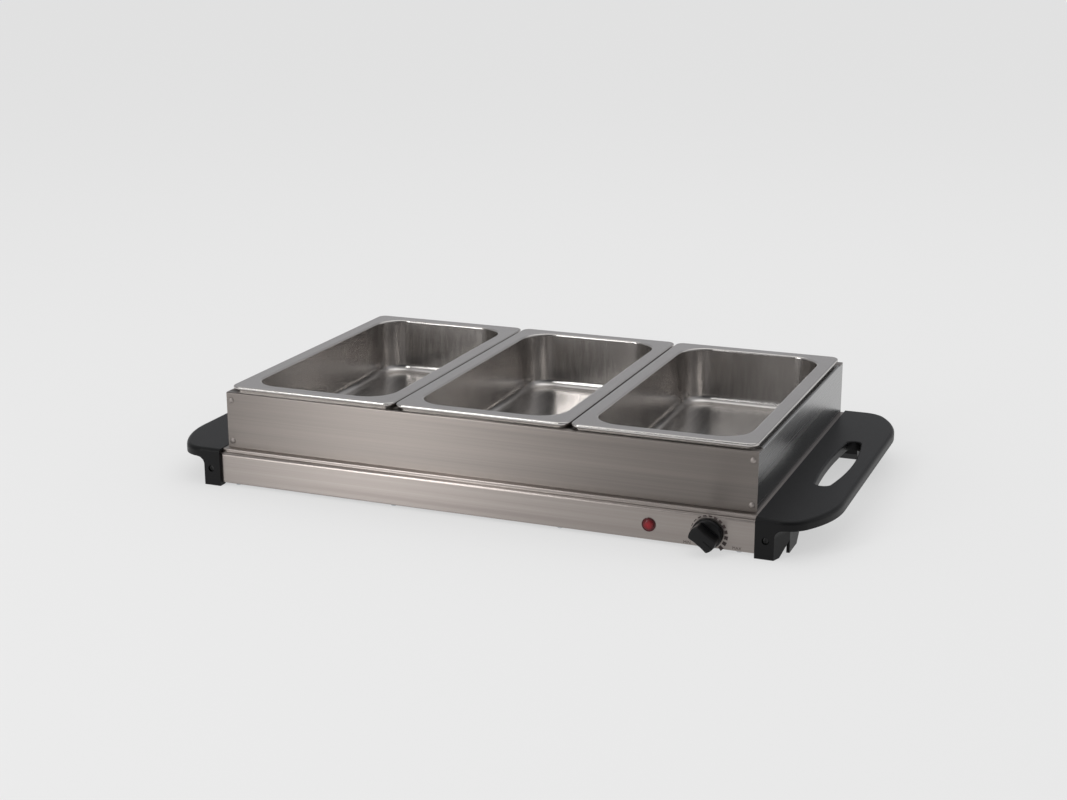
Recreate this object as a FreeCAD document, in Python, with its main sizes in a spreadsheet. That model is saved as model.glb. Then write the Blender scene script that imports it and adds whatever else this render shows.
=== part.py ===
import FreeCAD, Part
import math
import os

import Sketcher
from FreeCAD import Vector

# Electric food warmer tray: three open pans in a lift-off steel frame, which stands on a low
# heated tray with a moulded handle and two legs at each end. Millimetres and degrees.
# The origin is on the ground under the middle of the tray, +Z up, +X to the right and the
# knob on the -Y side.

os.makedirs("parts", exist_ok=True)
document = FreeCAD.newDocument("food_warmer_tray")

DRIVING_SIZES = {
    # pans
    "pan_width": 180,
    "pan_length": 338,
    "pan_gap": 2,
    "pan_sheet": 0.8,
    "rim_height": 6,
    "rim_corner": 9,
    "rim_edge": 1.6,
    "rim_width": 14.5,
    "rim_roll": 4,
    "rim_roll_edge": 1.2,
    "rim_foot": 2,
    "rim_stand": 2.5,
    "well_corner": 30,
    "well_floor_edge": 10,
    "well_taper": 3,
    "well_lip": 2,
    "well_clearance": 3,
    # pan frame
    "rim_margin": 3,
    "frame_height": 57,
    "frame_sheet": 1,
    "frame_fold": 1.3,
    "frame_ledge": 15,
    "frame_flange": 14,
    "bar_width": 20,
    "bar_height": 12,
    "rivet_inset": 5,
    "rivet_lower": 6.5,
    "rivet_upper": 49,
    "rivet_shank": 1.5,
    "rivet_head": 3,
    "rivet_dome": 1.3,
    # tray
    "end_margin": 2.5,
    "front_margin": 12,
    "tray_sheet": 0.8,
    "skirt_gap": 3,
    "skirt_flange": 12,
    "skirt_fold": 1.2,
    "ledge_height": 34.5,
    "ledge_edge": 3,
    "ledge_width": 4.5,
    "step_corner": 0.6,
    "platform_height": 38,
    "platform_edge": 1.2,
    "cover_inset": 3,
    "cover_screw_inset": 16,
    "screw_shank": 1.5,
    "screw_head": 3,
    "screw_head_height": 1.4,
    "fit_gap": 0.05,
    "vent_length": 60,
    "vent_width": 4,
    "vent_pitch": 14,
    "vent_place": 110,
    # handles and legs
    "handle_length": 65,
    "handle_overhang": 3.5,
    "handle_rise": 0.4,
    "handle_rim": 9.4,
    "handle_wall": 3,
    "handle_edge": 4,
    "handle_front_radius": 28,
    "handle_side_radius": 110,
    "handle_side_turn": 35,
    "rib_thickness": 2,
    "rib_place": 96,
    "slot_half_length": 77,
    "slot_end_radius": 7.2,
    "slot_end_inner": 27,
    "slot_end_outer": 41,
    "slot_inner_bow": 3.5,
    "slot_outer_bow": 6.5,
    "slot_edge": 2,
    "leg_width": 18,
    "leg_flare": 8.5,
    "leg_flare_depth": 25,
    "leg_depth": 66,
    "leg_foot_depth": 52,
    "leg_heel_depth": 60,
    "leg_heel_height": 8,
    "leg_fillet": 8,
    "leg_front_wall": 5,
    "notch_start": 9,
    "notch_end": 25,
    "notch_height": 13,
    "leg_screw_inset": 10,
    "leg_screw_height": 17.5,
    "leg_recess_radius": 3.4,
    "leg_recess_depth": 2.6,
    "leg_screw_length": 9,
    "bracket_sheet": 1.2,
    "bracket_length": 38,
    "bracket_height": 18,
    # heater
    "element_radius": 3.25,
    "element_pitch": 70,
    "element_bend_inset": 77.5,
    "element_end_inset": 19.5,
    "clip_sheet": 0.8,
    "clip_width": 12,
    "clip_foot": 8,
    "bead_radius": 3.2,
    "bead_length": 8,
    "pin_radius": 1.2,
    "pin_length": 7,
    "shield_inset": 27.5,
    "shield_half_depth": 125,
    "shield_clearance": 7.3,
    "shield_depth": 9,
    "shield_sheet": 0.6,
    "shield_flange": 8,
    # thermostat and knob
    "knob_inset": 44.5,
    "knob_height": 17,
    "knob_radius": 14.5,
    "knob_gap": 2,
    "knob_skirt": 4.5,
    "knob_length": 18,
    "knob_grip_radius": 13,
    "knob_grip_end": 7.8,
    "knob_scoop_radius": 60,
    "knob_corner": 2,
    "knob_angle": 36,
    "knob_top_edge": 1.2,
    "knob_boss": 5.5,
    "shaft_radius": 3,
    "shaft_clearance": 0.05,
    "shaft_depth": 16,
    "shaft_engagement": 14,
    "shaft_hole": 4.5,
    "thermostat_width": 34,
    "thermostat_depth": 22,
    "thermostat_height": 24,
    "thermostat_screw_place": 10.5,
    "thermostat_screw_length": 8,
    # lamp
    "lamp_inset": 100.9,
    "lamp_height": 17.8,
    "lamp_radius": 6.7,
    "lamp_rise": 2.6,
    "lamp_flange": 1,
    "lamp_bore": 5.2,
    "lamp_body_length": 22,
    "lamp_clip_half": 8,
    "lamp_clip_sheet": 1,
    # wiring
    "block_inset": 87.5,
    "block_width": 42,
    "block_depth": 20,
    "block_height": 14,
    "block_back_gap": 34,
    "block_pole_pitch": 13,
    "block_pole_radius": 2.4,
    "block_screw_length": 4,
    "wire_radius": 1.1,
    "wire_height": 10,
    "cutout_length": 30,
    "cutout_width": 14,
    "cutout_height": 8,
    "cutout_place": 60,
    "cutout_strap": 6,
    "earth_inset": 147.5,
    "earth_height": 16,
    "earth_nut_radius": 3.6,
    "earth_nut_height": 2.6,
    "earth_stud_length": 9,
    "gland_inset": 77.5,
    "gland_height": 17,
    "gland_bore": 3.6,
    "gland_barrel": 6,
    "gland_flange": 9,
    "gland_flange_height": 3,
    "gland_inner_length": 7,
    "gland_nose": 7.4,
    "gland_nose_length": 12,
}

# What follows from the driving sizes: the frame is as large as its pans need, and the tray,
# its handles and what is inside it follow the frame.
DERIVED_PLACES = {
    "pan_pitch": "size.pan_width + size.pan_gap",
    "frame_half": "1.5 * size.pan_width + size.pan_gap + size.rim_margin",
    "frame_front": "size.pan_length / 2 + size.rim_margin",
    "frame_top": "size.platform_height + size.frame_height",
    "ledge_end": "frame_front - size.frame_ledge",
    "tray_half": "frame_half + size.end_margin",
    "tray_front": "frame_front + size.front_margin",
    "tray_back": "-tray_front",
    "tray_ceiling": "size.platform_height - size.tray_sheet",
    "handle_front": "tray_front + size.handle_overhang",
    "handle_top": "size.platform_height + size.handle_rise",
    "bracket_screw": "handle_front - size.leg_front_wall - 0.7 * size.bracket_length",
    "screw_hole": "size.screw_shank + size.fit_gap",
    "cover_screw_outer": "tray_half - size.cover_screw_inset",
    "cover_screw_inner": "cover_screw_outer / 3",
    "shield_inner": "size.shield_half_depth - size.shield_sheet",
    "clip_reach": "size.element_radius + size.fit_gap + size.clip_sheet + size.clip_foot",
    "element_height": "tray_ceiling - size.element_radius - size.fit_gap",
    "element_bend": "tray_half - size.element_bend_inset",
    "element_end": "tray_half - size.element_end_inset",
    "element_inner": "size.element_pitch / 2",
    "element_outer": "shield_inner - size.shield_clearance - clip_reach",
    "clip_inner": "0.4 * element_bend",
    "clip_outer": "0.8 * element_bend",
    "shield_half_length": "tray_half - size.shield_inset",
    "knob_place": "tray_half - size.knob_inset",
    "lamp_place": "tray_half - size.lamp_inset",
    "block_place": "tray_half - size.block_inset",
    "earth_place": "tray_half - size.earth_inset",
    "gland_place": "tray_half - size.gland_inset",
}

size_sheet = document.addObject("Spreadsheet::Sheet", "size")
place_sheet = document.addObject("Spreadsheet::Sheet", "place")


def fill_sheet(sheet, cells, prefix=""):
    for row, (alias, content) in enumerate(cells.items(), start=1):
        sheet.set(f"A{row}", alias)
        sheet.set(f"B{row}", prefix + str(content))
        sheet.setAlias(f"B{row}", alias)


fill_sheet(size_sheet, DRIVING_SIZES)
fill_sheet(place_sheet, DERIVED_PLACES, "=")
document.recompute()


def evaluate(expression):
    result = size_sheet.evalExpression(expression)
    return getattr(result, "Value", result)


# Sketches


def new_body(name):
    return document.addObject("PartDesign::Body", name)


def new_sketch(body, name, role, offset="0", shift=("0", "0")):
    # XY offsets go up, YZ offsets go to +X, and XZ offsets go forward, to -Y.
    sketch = body.newObject("Sketcher::SketchObject", name)
    plane = next(item for item in body.Origin.OriginFeatures if item.Role == role)
    sketch.AttachmentSupport = (plane, [""])
    sketch.MapMode = "FlatFace"
    sketch.setExpression("AttachmentOffset.Base.x", shift[0])
    sketch.setExpression("AttachmentOffset.Base.y", shift[1])
    sketch.setExpression("AttachmentOffset.Base.z", offset)
    return sketch


def constrain(sketch, expression, kind, *members):
    constraint = Sketcher.Constraint(kind, *members, evaluate(expression))
    index = sketch.addConstraint(constraint)
    sketch.setExpression(f"Constraints[{index}]", expression)


def pin_point(sketch, geometry, position, x, y):
    constrain(sketch, x, "DistanceX", -1, 1, geometry, position)
    constrain(sketch, y, "DistanceY", -1, 1, geometry, position)


def bend(start, end, radius):
    # The arc from start to end that turns left, or right where the radius is negative.
    chord = end - start
    left = Vector(-chord.y, chord.x, 0).normalize()
    rise = math.sqrt(max(radius**2 - (chord.Length / 2) ** 2, 0))
    centre = (start + end) / 2 + left * math.copysign(rise, radius)
    angles = [math.atan2(p.y - centre.y, p.x - centre.x) for p in (start, end)]
    if radius < 0:
        angles.reverse()
    return Part.ArcOfCircle(Part.Circle(centre, Vector(0, 0, 1), abs(radius)), *angles)


def draw_chain(sketch, corners, closed=True):
    # A corner is (x, y), or (x, y, radius) where an arc leads on to the next corner.
    places = [Vector(evaluate(corner[0]), evaluate(corner[1]), 0) for corner in corners]
    count = len(corners) if closed else len(corners) - 1
    sides = []
    for number in range(count):
        corner = corners[number]
        start = places[number]
        end = places[(number + 1) % len(places)]
        if len(corner) == 2:
            index = sketch.addGeometry(Part.LineSegment(start, end), False)
            sides.append((index, 1, 2))
            continue
        radius = evaluate(corner[2])
        index = sketch.addGeometry(bend(start, end, radius), False)
        if (end - start).Length < 1.999 * abs(radius):
            constrain(sketch, corner[2] if radius > 0 else f"-({corner[2]})", "Radius", index)
        elif abs(end.x - start.x) < abs(end.y - start.y):
            constrain(sketch, corner[0], "DistanceX", -1, 1, index, 3)
        else:
            constrain(sketch, corner[1], "DistanceY", -1, 1, index, 3)
        sides.append((index, 1, 2) if radius > 0 else (index, 2, 1))
    for (index, start, _), corner in zip(sides, corners):
        pin_point(sketch, index, start, corner[0], corner[1])
    for number in range(count if closed else count - 1):
        index, _, end = sides[number]
        following, start, _ = sides[(number + 1) % len(sides)]
        sketch.addConstraint(Sketcher.Constraint("Coincident", index, end, following, start))
    if not closed:
        index, _, end = sides[-1]
        pin_point(sketch, index, end, corners[-1][0], corners[-1][1])
    return sketch


def draw_circle(sketch, x, y, radius):
    circle = Part.Circle(Vector(evaluate(x), evaluate(y), 0), Vector(0, 0, 1), evaluate(radius))
    index = sketch.addGeometry(circle, False)
    pin_point(sketch, index, 3, x, y)
    constrain(sketch, radius, "Radius", index)
    return sketch


def draw_box(sketch, left, bottom, right, top):
    return draw_chain(sketch, [(left, bottom), (right, bottom), (right, top), (left, top)])


def draw_rounded(sketch, half_width, half_length, corner):
    x = f"({half_width})"
    y = f"({half_length})"
    r = f"({corner})"
    return draw_chain(
        sketch,
        [
            (f"-{x} + {r}", f"-{y}"),
            (f"{x} - {r}", f"-{y}", r),
            (x, f"-{y} + {r}"),
            (x, f"{y} - {r}", r),
            (f"{x} - {r}", y),
            (f"-{x} + {r}", y, r),
            (f"-{x}", f"{y} - {r}"),
            (f"-{x}", f"-{y} + {r}", r),
        ],
    )


# Features


def pad(body, sketch, length, along=True, taper="0"):
    feature = body.newObject("PartDesign::Pad", sketch.Name + "_pad")
    feature.Profile = sketch
    feature.setExpression("Length", length)
    feature.setExpression("TaperAngle", taper)
    feature.Reversed = not along
    document.recompute()
    return feature


def cut(body, sketch, depth, along=False, taper="0"):
    before = body.Shape.Volume
    feature = body.newObject("PartDesign::Pocket", sketch.Name + "_cut")
    feature.Profile = sketch
    feature.setExpression("Length", depth)
    feature.setExpression("TaperAngle", taper)
    feature.Reversed = along
    document.recompute()
    if body.Shape.Volume >= before:
        raise ValueError(f"{sketch.Name} cuts nothing from {body.Name}")
    return feature


def revolve(body, sketch, axis="V_Axis"):
    feature = body.newObject("PartDesign::Revolution", sketch.Name + "_turn")
    feature.Profile = sketch
    feature.ReferenceAxis = (sketch, [axis])
    feature.Angle = 360
    document.recompute()
    return feature


def mirror_body(body, role):
    feature = body.newObject("PartDesign::Mirrored", body.Name + "_mirror_" + role[:2].lower())
    plane = next(item for item in body.Origin.OriginFeatures if item.Role == role)
    feature.MirrorPlane = (plane, [""])
    feature.TransformMode = "Whole shape"
    body.Tip = feature
    document.recompute()
    return feature


def round_edges(body, name, radius, chosen):
    base = body.Tip
    edges = [f"Edge{n}" for n, edge in enumerate(base.Shape.Edges, start=1) if chosen(edge)]
    feature = body.newObject("PartDesign::Fillet", name)
    feature.Base = (base, edges)
    feature.setExpression("Radius", radius)
    document.recompute()
    return feature


def lies_at(edge, axis, value):
    low = getattr(edge.BoundBox, axis + "Min")
    high = getattr(edge.BoundBox, axis + "Max")
    return abs(low - value) < 0.01 and abs(high - value) < 0.01


# Sub-parts and groups of like solids

nodes = {}


def keep(label, item):
    item.Label = label
    nodes[label] = item
    return item


def mirrored(item, normal):
    copy = document.addObject("Part::Mirroring", item.Name + "_mirrored")
    copy.Source = item
    copy.Normal = normal
    return copy


def group(name, members):
    together = document.addObject("Part::Compound", name)
    together.Links = members
    return together


def four_corners(name, item):
    # The item and its images in the middle planes.
    pair = group(name + "_pair", [item, mirrored(item, Vector(1, 0, 0))])
    return group(name, [pair, mirrored(pair, Vector(0, 1, 0))])


def turned(name, role, offset, shift, profile, axis="V_Axis"):
    body = new_body(name)
    sketch = draw_chain(new_sketch(body, name + "_profile", role, offset, shift), profile)
    revolve(body, sketch, axis)
    return body


def screw_profile(length):
    # Upright along V, with the underside of the head at zero and the shank below it.
    return [
        ("0", f"-({length})"),
        ("size.screw_shank", f"-({length})"),
        ("size.screw_shank", "0"),
        ("size.screw_head", "0"),
        ("size.screw_head", "size.screw_head_height / 2"),
        ("size.screw_head / 2", "size.screw_head_height"),
        ("0", "size.screw_head_height"),
    ]


# Tray shell


def tray_skin(inset):
    # The front half of the tray's section, from the skirt's return flange up to the platform.
    return [
        ("place.tray_back + size.skirt_flange", f"size.skirt_gap + {inset}"),
        (
            "place.tray_back + size.skirt_fold",
            f"size.skirt_gap + {inset}",
            f"-(size.skirt_fold - {inset})",
        ),
        (f"place.tray_back + {inset}", "size.skirt_gap + size.skirt_fold"),
        (
            f"place.tray_back + {inset}",
            "size.ledge_height - size.ledge_edge",
            f"-(size.ledge_edge - {inset})",
        ),
        ("place.tray_back + size.ledge_edge", f"size.ledge_height - {inset}"),
        (
            "place.tray_back + size.ledge_width - size.step_corner",
            f"size.ledge_height - {inset}",
            f"size.step_corner + {inset}",
        ),
        (f"place.tray_back + size.ledge_width + {inset}", "size.ledge_height + size.step_corner"),
        (
            f"place.tray_back + size.ledge_width + {inset}",
            "size.platform_height - size.platform_edge",
            f"-(size.platform_edge - {inset})",
        ),
        ("place.tray_back + size.ledge_width + size.platform_edge", f"size.platform_height - {inset}"),
        ("0", f"size.platform_height - {inset}"),
    ]


def returned(chain):
    # The same chain walked the other way, with each arc turning the other way.
    corners = []
    for number in range(len(chain) - 1, -1, -1):
        x, y = chain[number][:2]
        before = chain[number - 1] if number else ()
        if len(before) == 3:
            corners.append((x, y, f"-({before[2]})"))
        else:
            corners.append((x, y))
    return corners


def make_tray_shell():
    body = new_body("tray_shell")
    outside = tray_skin("0")
    skin = new_sketch(body, "tray_skin", "YZ_Plane", "-place.tray_half")
    draw_chain(skin, outside + returned(tray_skin("size.tray_sheet")))
    pad(body, skin, "2 * place.tray_half")
    ends = {"left": "-place.tray_half", "right": "place.tray_half - size.tray_sheet"}
    for side, offset in ends.items():
        wall = new_sketch(body, f"tray_{side}_wall", "YZ_Plane", offset)
        draw_chain(wall, outside + [("0", "size.skirt_gap")])
        pad(body, wall, "size.tray_sheet")
    mirror_body(body, "XZ_Plane")

    front = new_sketch(body, "tray_front_holes", "XZ_Plane", "place.tray_front")
    draw_circle(front, "place.knob_place", "size.knob_height", "size.shaft_hole")
    draw_circle(front, "place.lamp_place", "size.lamp_height", "size.lamp_bore + size.fit_gap")
    for sign in ("-", "+"):
        x = f"place.knob_place {sign} size.thermostat_screw_place"
        draw_circle(front, x, "size.knob_height", "place.screw_hole")
    cut(body, front, "2 * size.tray_sheet")

    back = new_sketch(body, "tray_back_holes", "XZ_Plane", "place.tray_back")
    draw_circle(back, "place.gland_place", "size.gland_height", "size.gland_barrel + size.fit_gap")
    draw_circle(back, "place.earth_place", "size.earth_height", "place.screw_hole")
    cut(body, back, "2 * size.tray_sheet", along=True)

    flange = new_sketch(body, "tray_flange_holes", "XY_Plane", "size.skirt_gap")
    draw_cover_screw_holes(flange)
    cut(body, flange, "size.tray_sheet", along=True)

    end = new_sketch(body, "tray_end_holes", "YZ_Plane", "-place.tray_half")
    for sign in ("-", "+"):
        draw_circle(end, f"{sign}place.bracket_screw", "size.leg_screw_height", "place.screw_hole")
    cut(body, end, "2 * place.tray_half", along=True)
    keep("tray_shell", body)


def draw_cover_screw_holes(sketch):
    y = "(place.tray_front - size.skirt_flange / 2)"
    for x in ("place.cover_screw_outer", "place.cover_screw_inner"):
        for sign_x in ("-", "+"):
            for sign_y in ("-", "+"):
                draw_circle(sketch, sign_x + x, sign_y + y, "place.screw_hole")


# Bottom cover and its screws


def make_bottom_cover():
    body = new_body("bottom_cover")
    plate = new_sketch(body, "cover_plate", "XY_Plane", "size.skirt_gap - size.tray_sheet")
    half_width = "place.tray_half - size.cover_inset"
    half_length = "place.tray_front - size.cover_inset"
    draw_rounded(plate, half_width, half_length, "size.cover_inset")
    pad(body, plate, "size.tray_sheet")
    holes = new_sketch(body, "cover_holes", "XY_Plane", "size.skirt_gap")
    draw_cover_screw_holes(holes)
    for column in ("-", "+"):
        for row in (-2, -1, 0, 1, 2):
            centre = f"({row} * size.vent_pitch)"
            middle = f"({column}size.vent_place)"
            left = f"{middle} - size.vent_length / 2"
            right = f"{middle} + size.vent_length / 2"
            low = f"{centre} - size.vent_width / 2"
            high = f"{centre} + size.vent_width / 2"
            end = "size.vent_width / 2"
            draw_chain(holes, [(left, low), (right, low, end), (right, high), (left, high, end)])
    cut(body, holes, "size.tray_sheet")
    keep("bottom_cover", body)


def make_cover_screws():
    screws = []
    y = "place.tray_front - size.skirt_flange / 2"
    head_side = "size.skirt_gap - size.tray_sheet"
    for name, x in (("outer", "place.cover_screw_outer"), ("inner", "place.cover_screw_inner")):
        profile = [(corner[0], f"-({corner[1]})") for corner in screw_profile("2 * size.tray_sheet + 2")]
        screw = turned(f"cover_screw_{name}", "XZ_Plane", y, (x, head_side), profile)
        screws.append(four_corners(f"cover_screws_{name}", screw))
    keep("cover_screws", group("cover_screws", screws))


# Handles with their legs


def handle_outline(inset):
    front = f"(place.handle_front - {inset})"
    reach = f"(place.tray_half + size.handle_length - {inset})"
    first = f"(size.handle_front_radius - {inset})"
    second = f"(size.handle_side_radius - {inset})"
    turn = "size.handle_side_turn"
    between = "(size.handle_side_radius - size.handle_front_radius)"
    second_x = "(place.tray_half + size.handle_length - size.handle_side_radius)"
    first_x = f"({second_x} + {between} * cos({turn}))"
    first_y = "(place.handle_front - size.handle_front_radius)"
    second_y = f"({first_y} - {between} * sin({turn}))"
    meet_x = f"({first_x} + {first} * cos({turn}))"
    meet_y = f"({first_y} + {first} * sin({turn}))"
    inner = f"place.tray_half + {inset}"
    return [
        (inner, f"-{front}"),
        (first_x, f"-{front}", first),
        (meet_x, f"-{meet_y}", second),
        (reach, f"-{second_y}"),
        (reach, second_y, second),
        (meet_x, meet_y, first),
        (first_x, front),
        (inner, front),
    ]


def slot_outline(grow):
    # A long hole with round ends and sides that bow outwards by a few millimetres.
    half = "(size.slot_half_length - size.slot_end_radius)"
    inner = f"(place.tray_half + size.slot_end_inner - {grow})"
    outer = f"(place.tray_half + size.slot_end_outer + {grow})"
    end = f"(size.slot_end_radius + {grow})"
    inner_bow = f"(({half} ^ 2 + size.slot_inner_bow ^ 2) / (2 * size.slot_inner_bow))"
    outer_bow = f"(({half} ^ 2 + size.slot_outer_bow ^ 2) / (2 * size.slot_outer_bow))"
    return [
        (inner, f"-{half}", end),
        (outer, f"-{half}", outer_bow),
        (outer, half, end),
        (inner, half, inner_bow),
    ]


def leg_plan(inset, side):
    # The leg's outline seen from above; side is the sign of Y.
    front = "(place.handle_front - size.leg_front_wall)" if inset != "0" else "place.handle_front"
    narrow = f"place.tray_half + size.leg_width - {inset}"
    wide = f"place.tray_half + size.leg_width + size.leg_flare - {inset}"
    corners = [
        (f"place.tray_half + {inset}", front),
        (narrow, front),
        (wide, "place.handle_front - size.leg_flare_depth"),
        (wide, f"place.handle_front - size.leg_foot_depth + {inset}"),
        (f"place.tray_half + {inset}", f"place.handle_front - size.leg_foot_depth + {inset}"),
    ]
    return [(x, f"{side}({y})") for x, y in corners]


def leg_elevation(shift):
    # The leg seen from the front, widening in a hollow curve to the underside of the rim.
    top = "(place.handle_top - size.handle_rim)"
    inner = f"place.tray_half + {shift}"
    outer = f"place.tray_half + size.leg_width + {shift}"
    return [
        (inner, "0"),
        (outer, "0"),
        (outer, f"{top} - size.leg_fillet", "-size.leg_fillet"),
        (f"{outer} + size.leg_fillet", top),
        (inner, top),
    ]


def make_leg(body, side):
    # Side is "-" at the front and "+" at the back. XZ offsets count towards the front.
    toward = "+" if side == "-" else "-"
    name = "front" if side == "-" else "back"
    flared = new_sketch(body, f"{name}_leg_flare", "XZ_Plane", f"{toward}place.handle_front")
    draw_chain(flared, leg_elevation("0"))
    slanted = pad(body, flared, "sqrt(size.leg_flare ^ 2 + size.leg_flare_depth ^ 2)")
    slanted.UseCustomVector = True
    slanted.AlongSketchNormal = False
    inward = 1 if side == "-" else -1
    slanted.setExpression("Direction.x", "size.leg_flare")
    slanted.setExpression("Direction.y", f"{inward} * size.leg_flare_depth")
    slanted.setExpression("Direction.z", "0")
    straight_start = f"{toward}(place.handle_front - size.leg_flare_depth)"
    straight = new_sketch(body, f"{name}_leg_side", "XZ_Plane", straight_start)
    draw_chain(straight, leg_elevation("size.leg_flare"))
    pad(body, straight, "size.leg_depth - size.leg_flare_depth", along=side == "+")
    inner = new_sketch(body, f"{name}_leg_inside", "XZ_Plane", f"{toward}place.handle_front")
    middle = "place.tray_half + size.leg_width / 2"
    draw_box(inner, "place.tray_half", "0", middle, "place.handle_top - size.handle_wall")
    pad(body, inner, "size.leg_depth", along=side == "+")
    top = new_sketch(body, f"{name}_leg_top", "XY_Plane", "place.handle_top - size.handle_rim")
    draw_chain(top, leg_plan("0", side))
    pad(body, top, "size.handle_rim - size.handle_wall")


def make_handle():
    body = new_body("right_handle_body")
    plate = new_sketch(body, "handle_plate", "XY_Plane", "place.handle_top - size.handle_rim")
    draw_chain(plate, handle_outline("0"))
    pad(body, plate, "size.handle_rim")
    top = evaluate("place.handle_top")
    inner = evaluate("place.tray_half")

    def outer_edges(edge):
        return lies_at(edge, "Z", top) and not lies_at(edge, "X", inner)

    round_edges(body, "handle_top_edge", "size.handle_edge", outer_edges)
    hollow = new_sketch(body, "handle_hollow", "XY_Plane", "place.handle_top - size.handle_rim")
    draw_chain(hollow, handle_outline("size.handle_wall"))
    draw_chain(hollow, slot_outline("size.handle_wall"))
    cut(body, hollow, "size.handle_rim - size.handle_wall", along=True)
    ribs = new_sketch(body, "handle_ribs", "XY_Plane", "place.handle_top - size.handle_rim")
    reach = "place.tray_half + size.handle_length - size.handle_wall / 2"
    for sign in ("-", "+"):
        centre = f"({sign}size.rib_place)"
        low = f"{centre} - size.rib_thickness / 2"
        high = f"{centre} + size.rib_thickness / 2"
        draw_box(ribs, "place.tray_half + size.handle_wall / 2", low, reach, high)
    pad(body, ribs, "size.handle_rim - size.handle_wall")
    for side in ("-", "+"):
        make_leg(body, side)

    for side, name in (("-", "front"), ("+", "back")):
        inside = new_sketch(body, f"{name}_leg_hollow", "XY_Plane")
        draw_chain(inside, leg_plan("size.handle_wall", side))
        cut(body, inside, "place.handle_top - size.handle_wall", along=True)
    side_view = new_sketch(body, "leg_side_cuts", "YZ_Plane", "place.tray_half")
    for sign in ("-", "+"):
        notch = [
            ("place.handle_front - size.notch_start", "0"),
            ("place.handle_front - size.notch_end", "0"),
            ("place.handle_front - size.notch_end", "size.notch_height"),
        ]
        heel = [
            ("place.handle_front - size.leg_foot_depth", "0"),
            ("place.handle_front - size.leg_depth - 1", "0"),
            ("place.handle_front - size.leg_depth - 1", "place.handle_top - size.handle_rim"),
            ("place.handle_front - size.leg_depth", "place.handle_top - size.handle_rim"),
            ("place.handle_front - size.leg_heel_depth", "size.leg_heel_height"),
        ]
        for corners in (notch, heel):
            draw_chain(side_view, [(f"{sign}({y})", z) for y, z in corners])
    cut(body, side_view, "size.handle_length", along=True)

    slot = new_sketch(body, "hand_slot", "XY_Plane", "place.handle_top")
    draw_chain(slot, slot_outline("0"))
    cut(body, slot, "size.handle_rim")
    reach_edge = evaluate("place.tray_half + size.slot_end_outer + size.slot_outer_bow")
    slot_half = evaluate("size.slot_half_length")

    def slot_edges(edge):
        box = edge.BoundBox
        inside = box.XMin > inner + 1 and box.XMax < reach_edge + 0.1 and box.YMax < slot_half + 0.1
        return lies_at(edge, "Z", top) and inside and box.YMin > -slot_half - 0.1

    round_edges(body, "slot_top_edge", "size.slot_edge", slot_edges)

    holes = {"front": ("place.handle_front", False), "back": ("-place.handle_front", True)}
    for name, (offset, along) in holes.items():
        x = "place.tray_half + size.leg_screw_inset"
        recess = new_sketch(body, f"{name}_screw_recess", "XZ_Plane", offset)
        draw_circle(recess, x, "size.leg_screw_height", "size.leg_recess_radius")
        cut(body, recess, "size.leg_recess_depth", along=along)
        through = new_sketch(body, f"{name}_screw_hole", "XZ_Plane", offset)
        draw_circle(through, x, "size.leg_screw_height", "place.screw_hole")
        cut(body, through, "size.leg_front_wall", along=along)
    clamp = new_sketch(body, "clamp_holes", "YZ_Plane", "place.tray_half")
    for sign in ("-", "+"):
        draw_circle(clamp, f"{sign}place.bracket_screw", "size.leg_screw_height", "place.screw_hole")
    cut(body, clamp, "size.handle_wall", along=True)

    keep("right_handle", body)
    keep("left_handle", mirrored(body, Vector(1, 0, 0)))


def make_handle_fastenings():
    seat = "place.handle_front - size.leg_recess_depth"
    x = "place.tray_half + size.leg_screw_inset"
    profile = [(corner[0], f"-({corner[1]})") for corner in screw_profile("size.leg_screw_length")]
    screw = turned("handle_screw", "XY_Plane", "size.leg_screw_height", (x, f"-({seat})"), profile)
    keep("handle_screws", four_corners("handle_screw_set", screw))

    body = new_body("corner_bracket")
    low = "size.leg_screw_height - size.bracket_height / 2"
    plan = new_sketch(body, "bracket_plan", "XY_Plane", low)
    front = "-(place.handle_front - size.leg_front_wall)"
    inner = "place.tray_half + size.handle_wall"
    across = "place.tray_half + size.leg_width - size.handle_wall - size.fit_gap"
    draw_chain(
        plan,
        [
            (inner, front),
            (across, front),
            (across, f"{front} + size.bracket_sheet"),
            (f"{inner} + size.bracket_sheet", f"{front} + size.bracket_sheet"),
            (f"{inner} + size.bracket_sheet", f"{front} + size.bracket_length"),
            (inner, f"{front} + size.bracket_length"),
        ],
    )
    pad(body, plan, "size.bracket_height")
    ear = new_sketch(body, "bracket_ear_hole", "XZ_Plane", f"-({front})")
    draw_circle(ear, x, "size.leg_screw_height", "place.screw_hole")
    cut(body, ear, "size.bracket_sheet")
    web = new_sketch(body, "bracket_web_hole", "YZ_Plane", inner)
    draw_circle(web, "-place.bracket_screw", "size.leg_screw_height", "place.screw_hole")
    cut(body, web, "size.bracket_sheet", along=True)
    keep("corner_brackets", four_corners("corner_bracket_set", body))

    inside = "place.tray_half - size.tray_sheet"
    length = "size.tray_sheet + size.handle_wall + size.bracket_sheet + 2"
    profile = [(f"-({corner[1]})", corner[0]) for corner in screw_profile(length)]
    place = (inside, "-place.bracket_screw")
    clamp = turned("clamp_screw", "XY_Plane", "size.leg_screw_height", place, profile, "H_Axis")
    keep("clamp_screws", four_corners("clamp_screw_set", clamp))


# Heater


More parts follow.
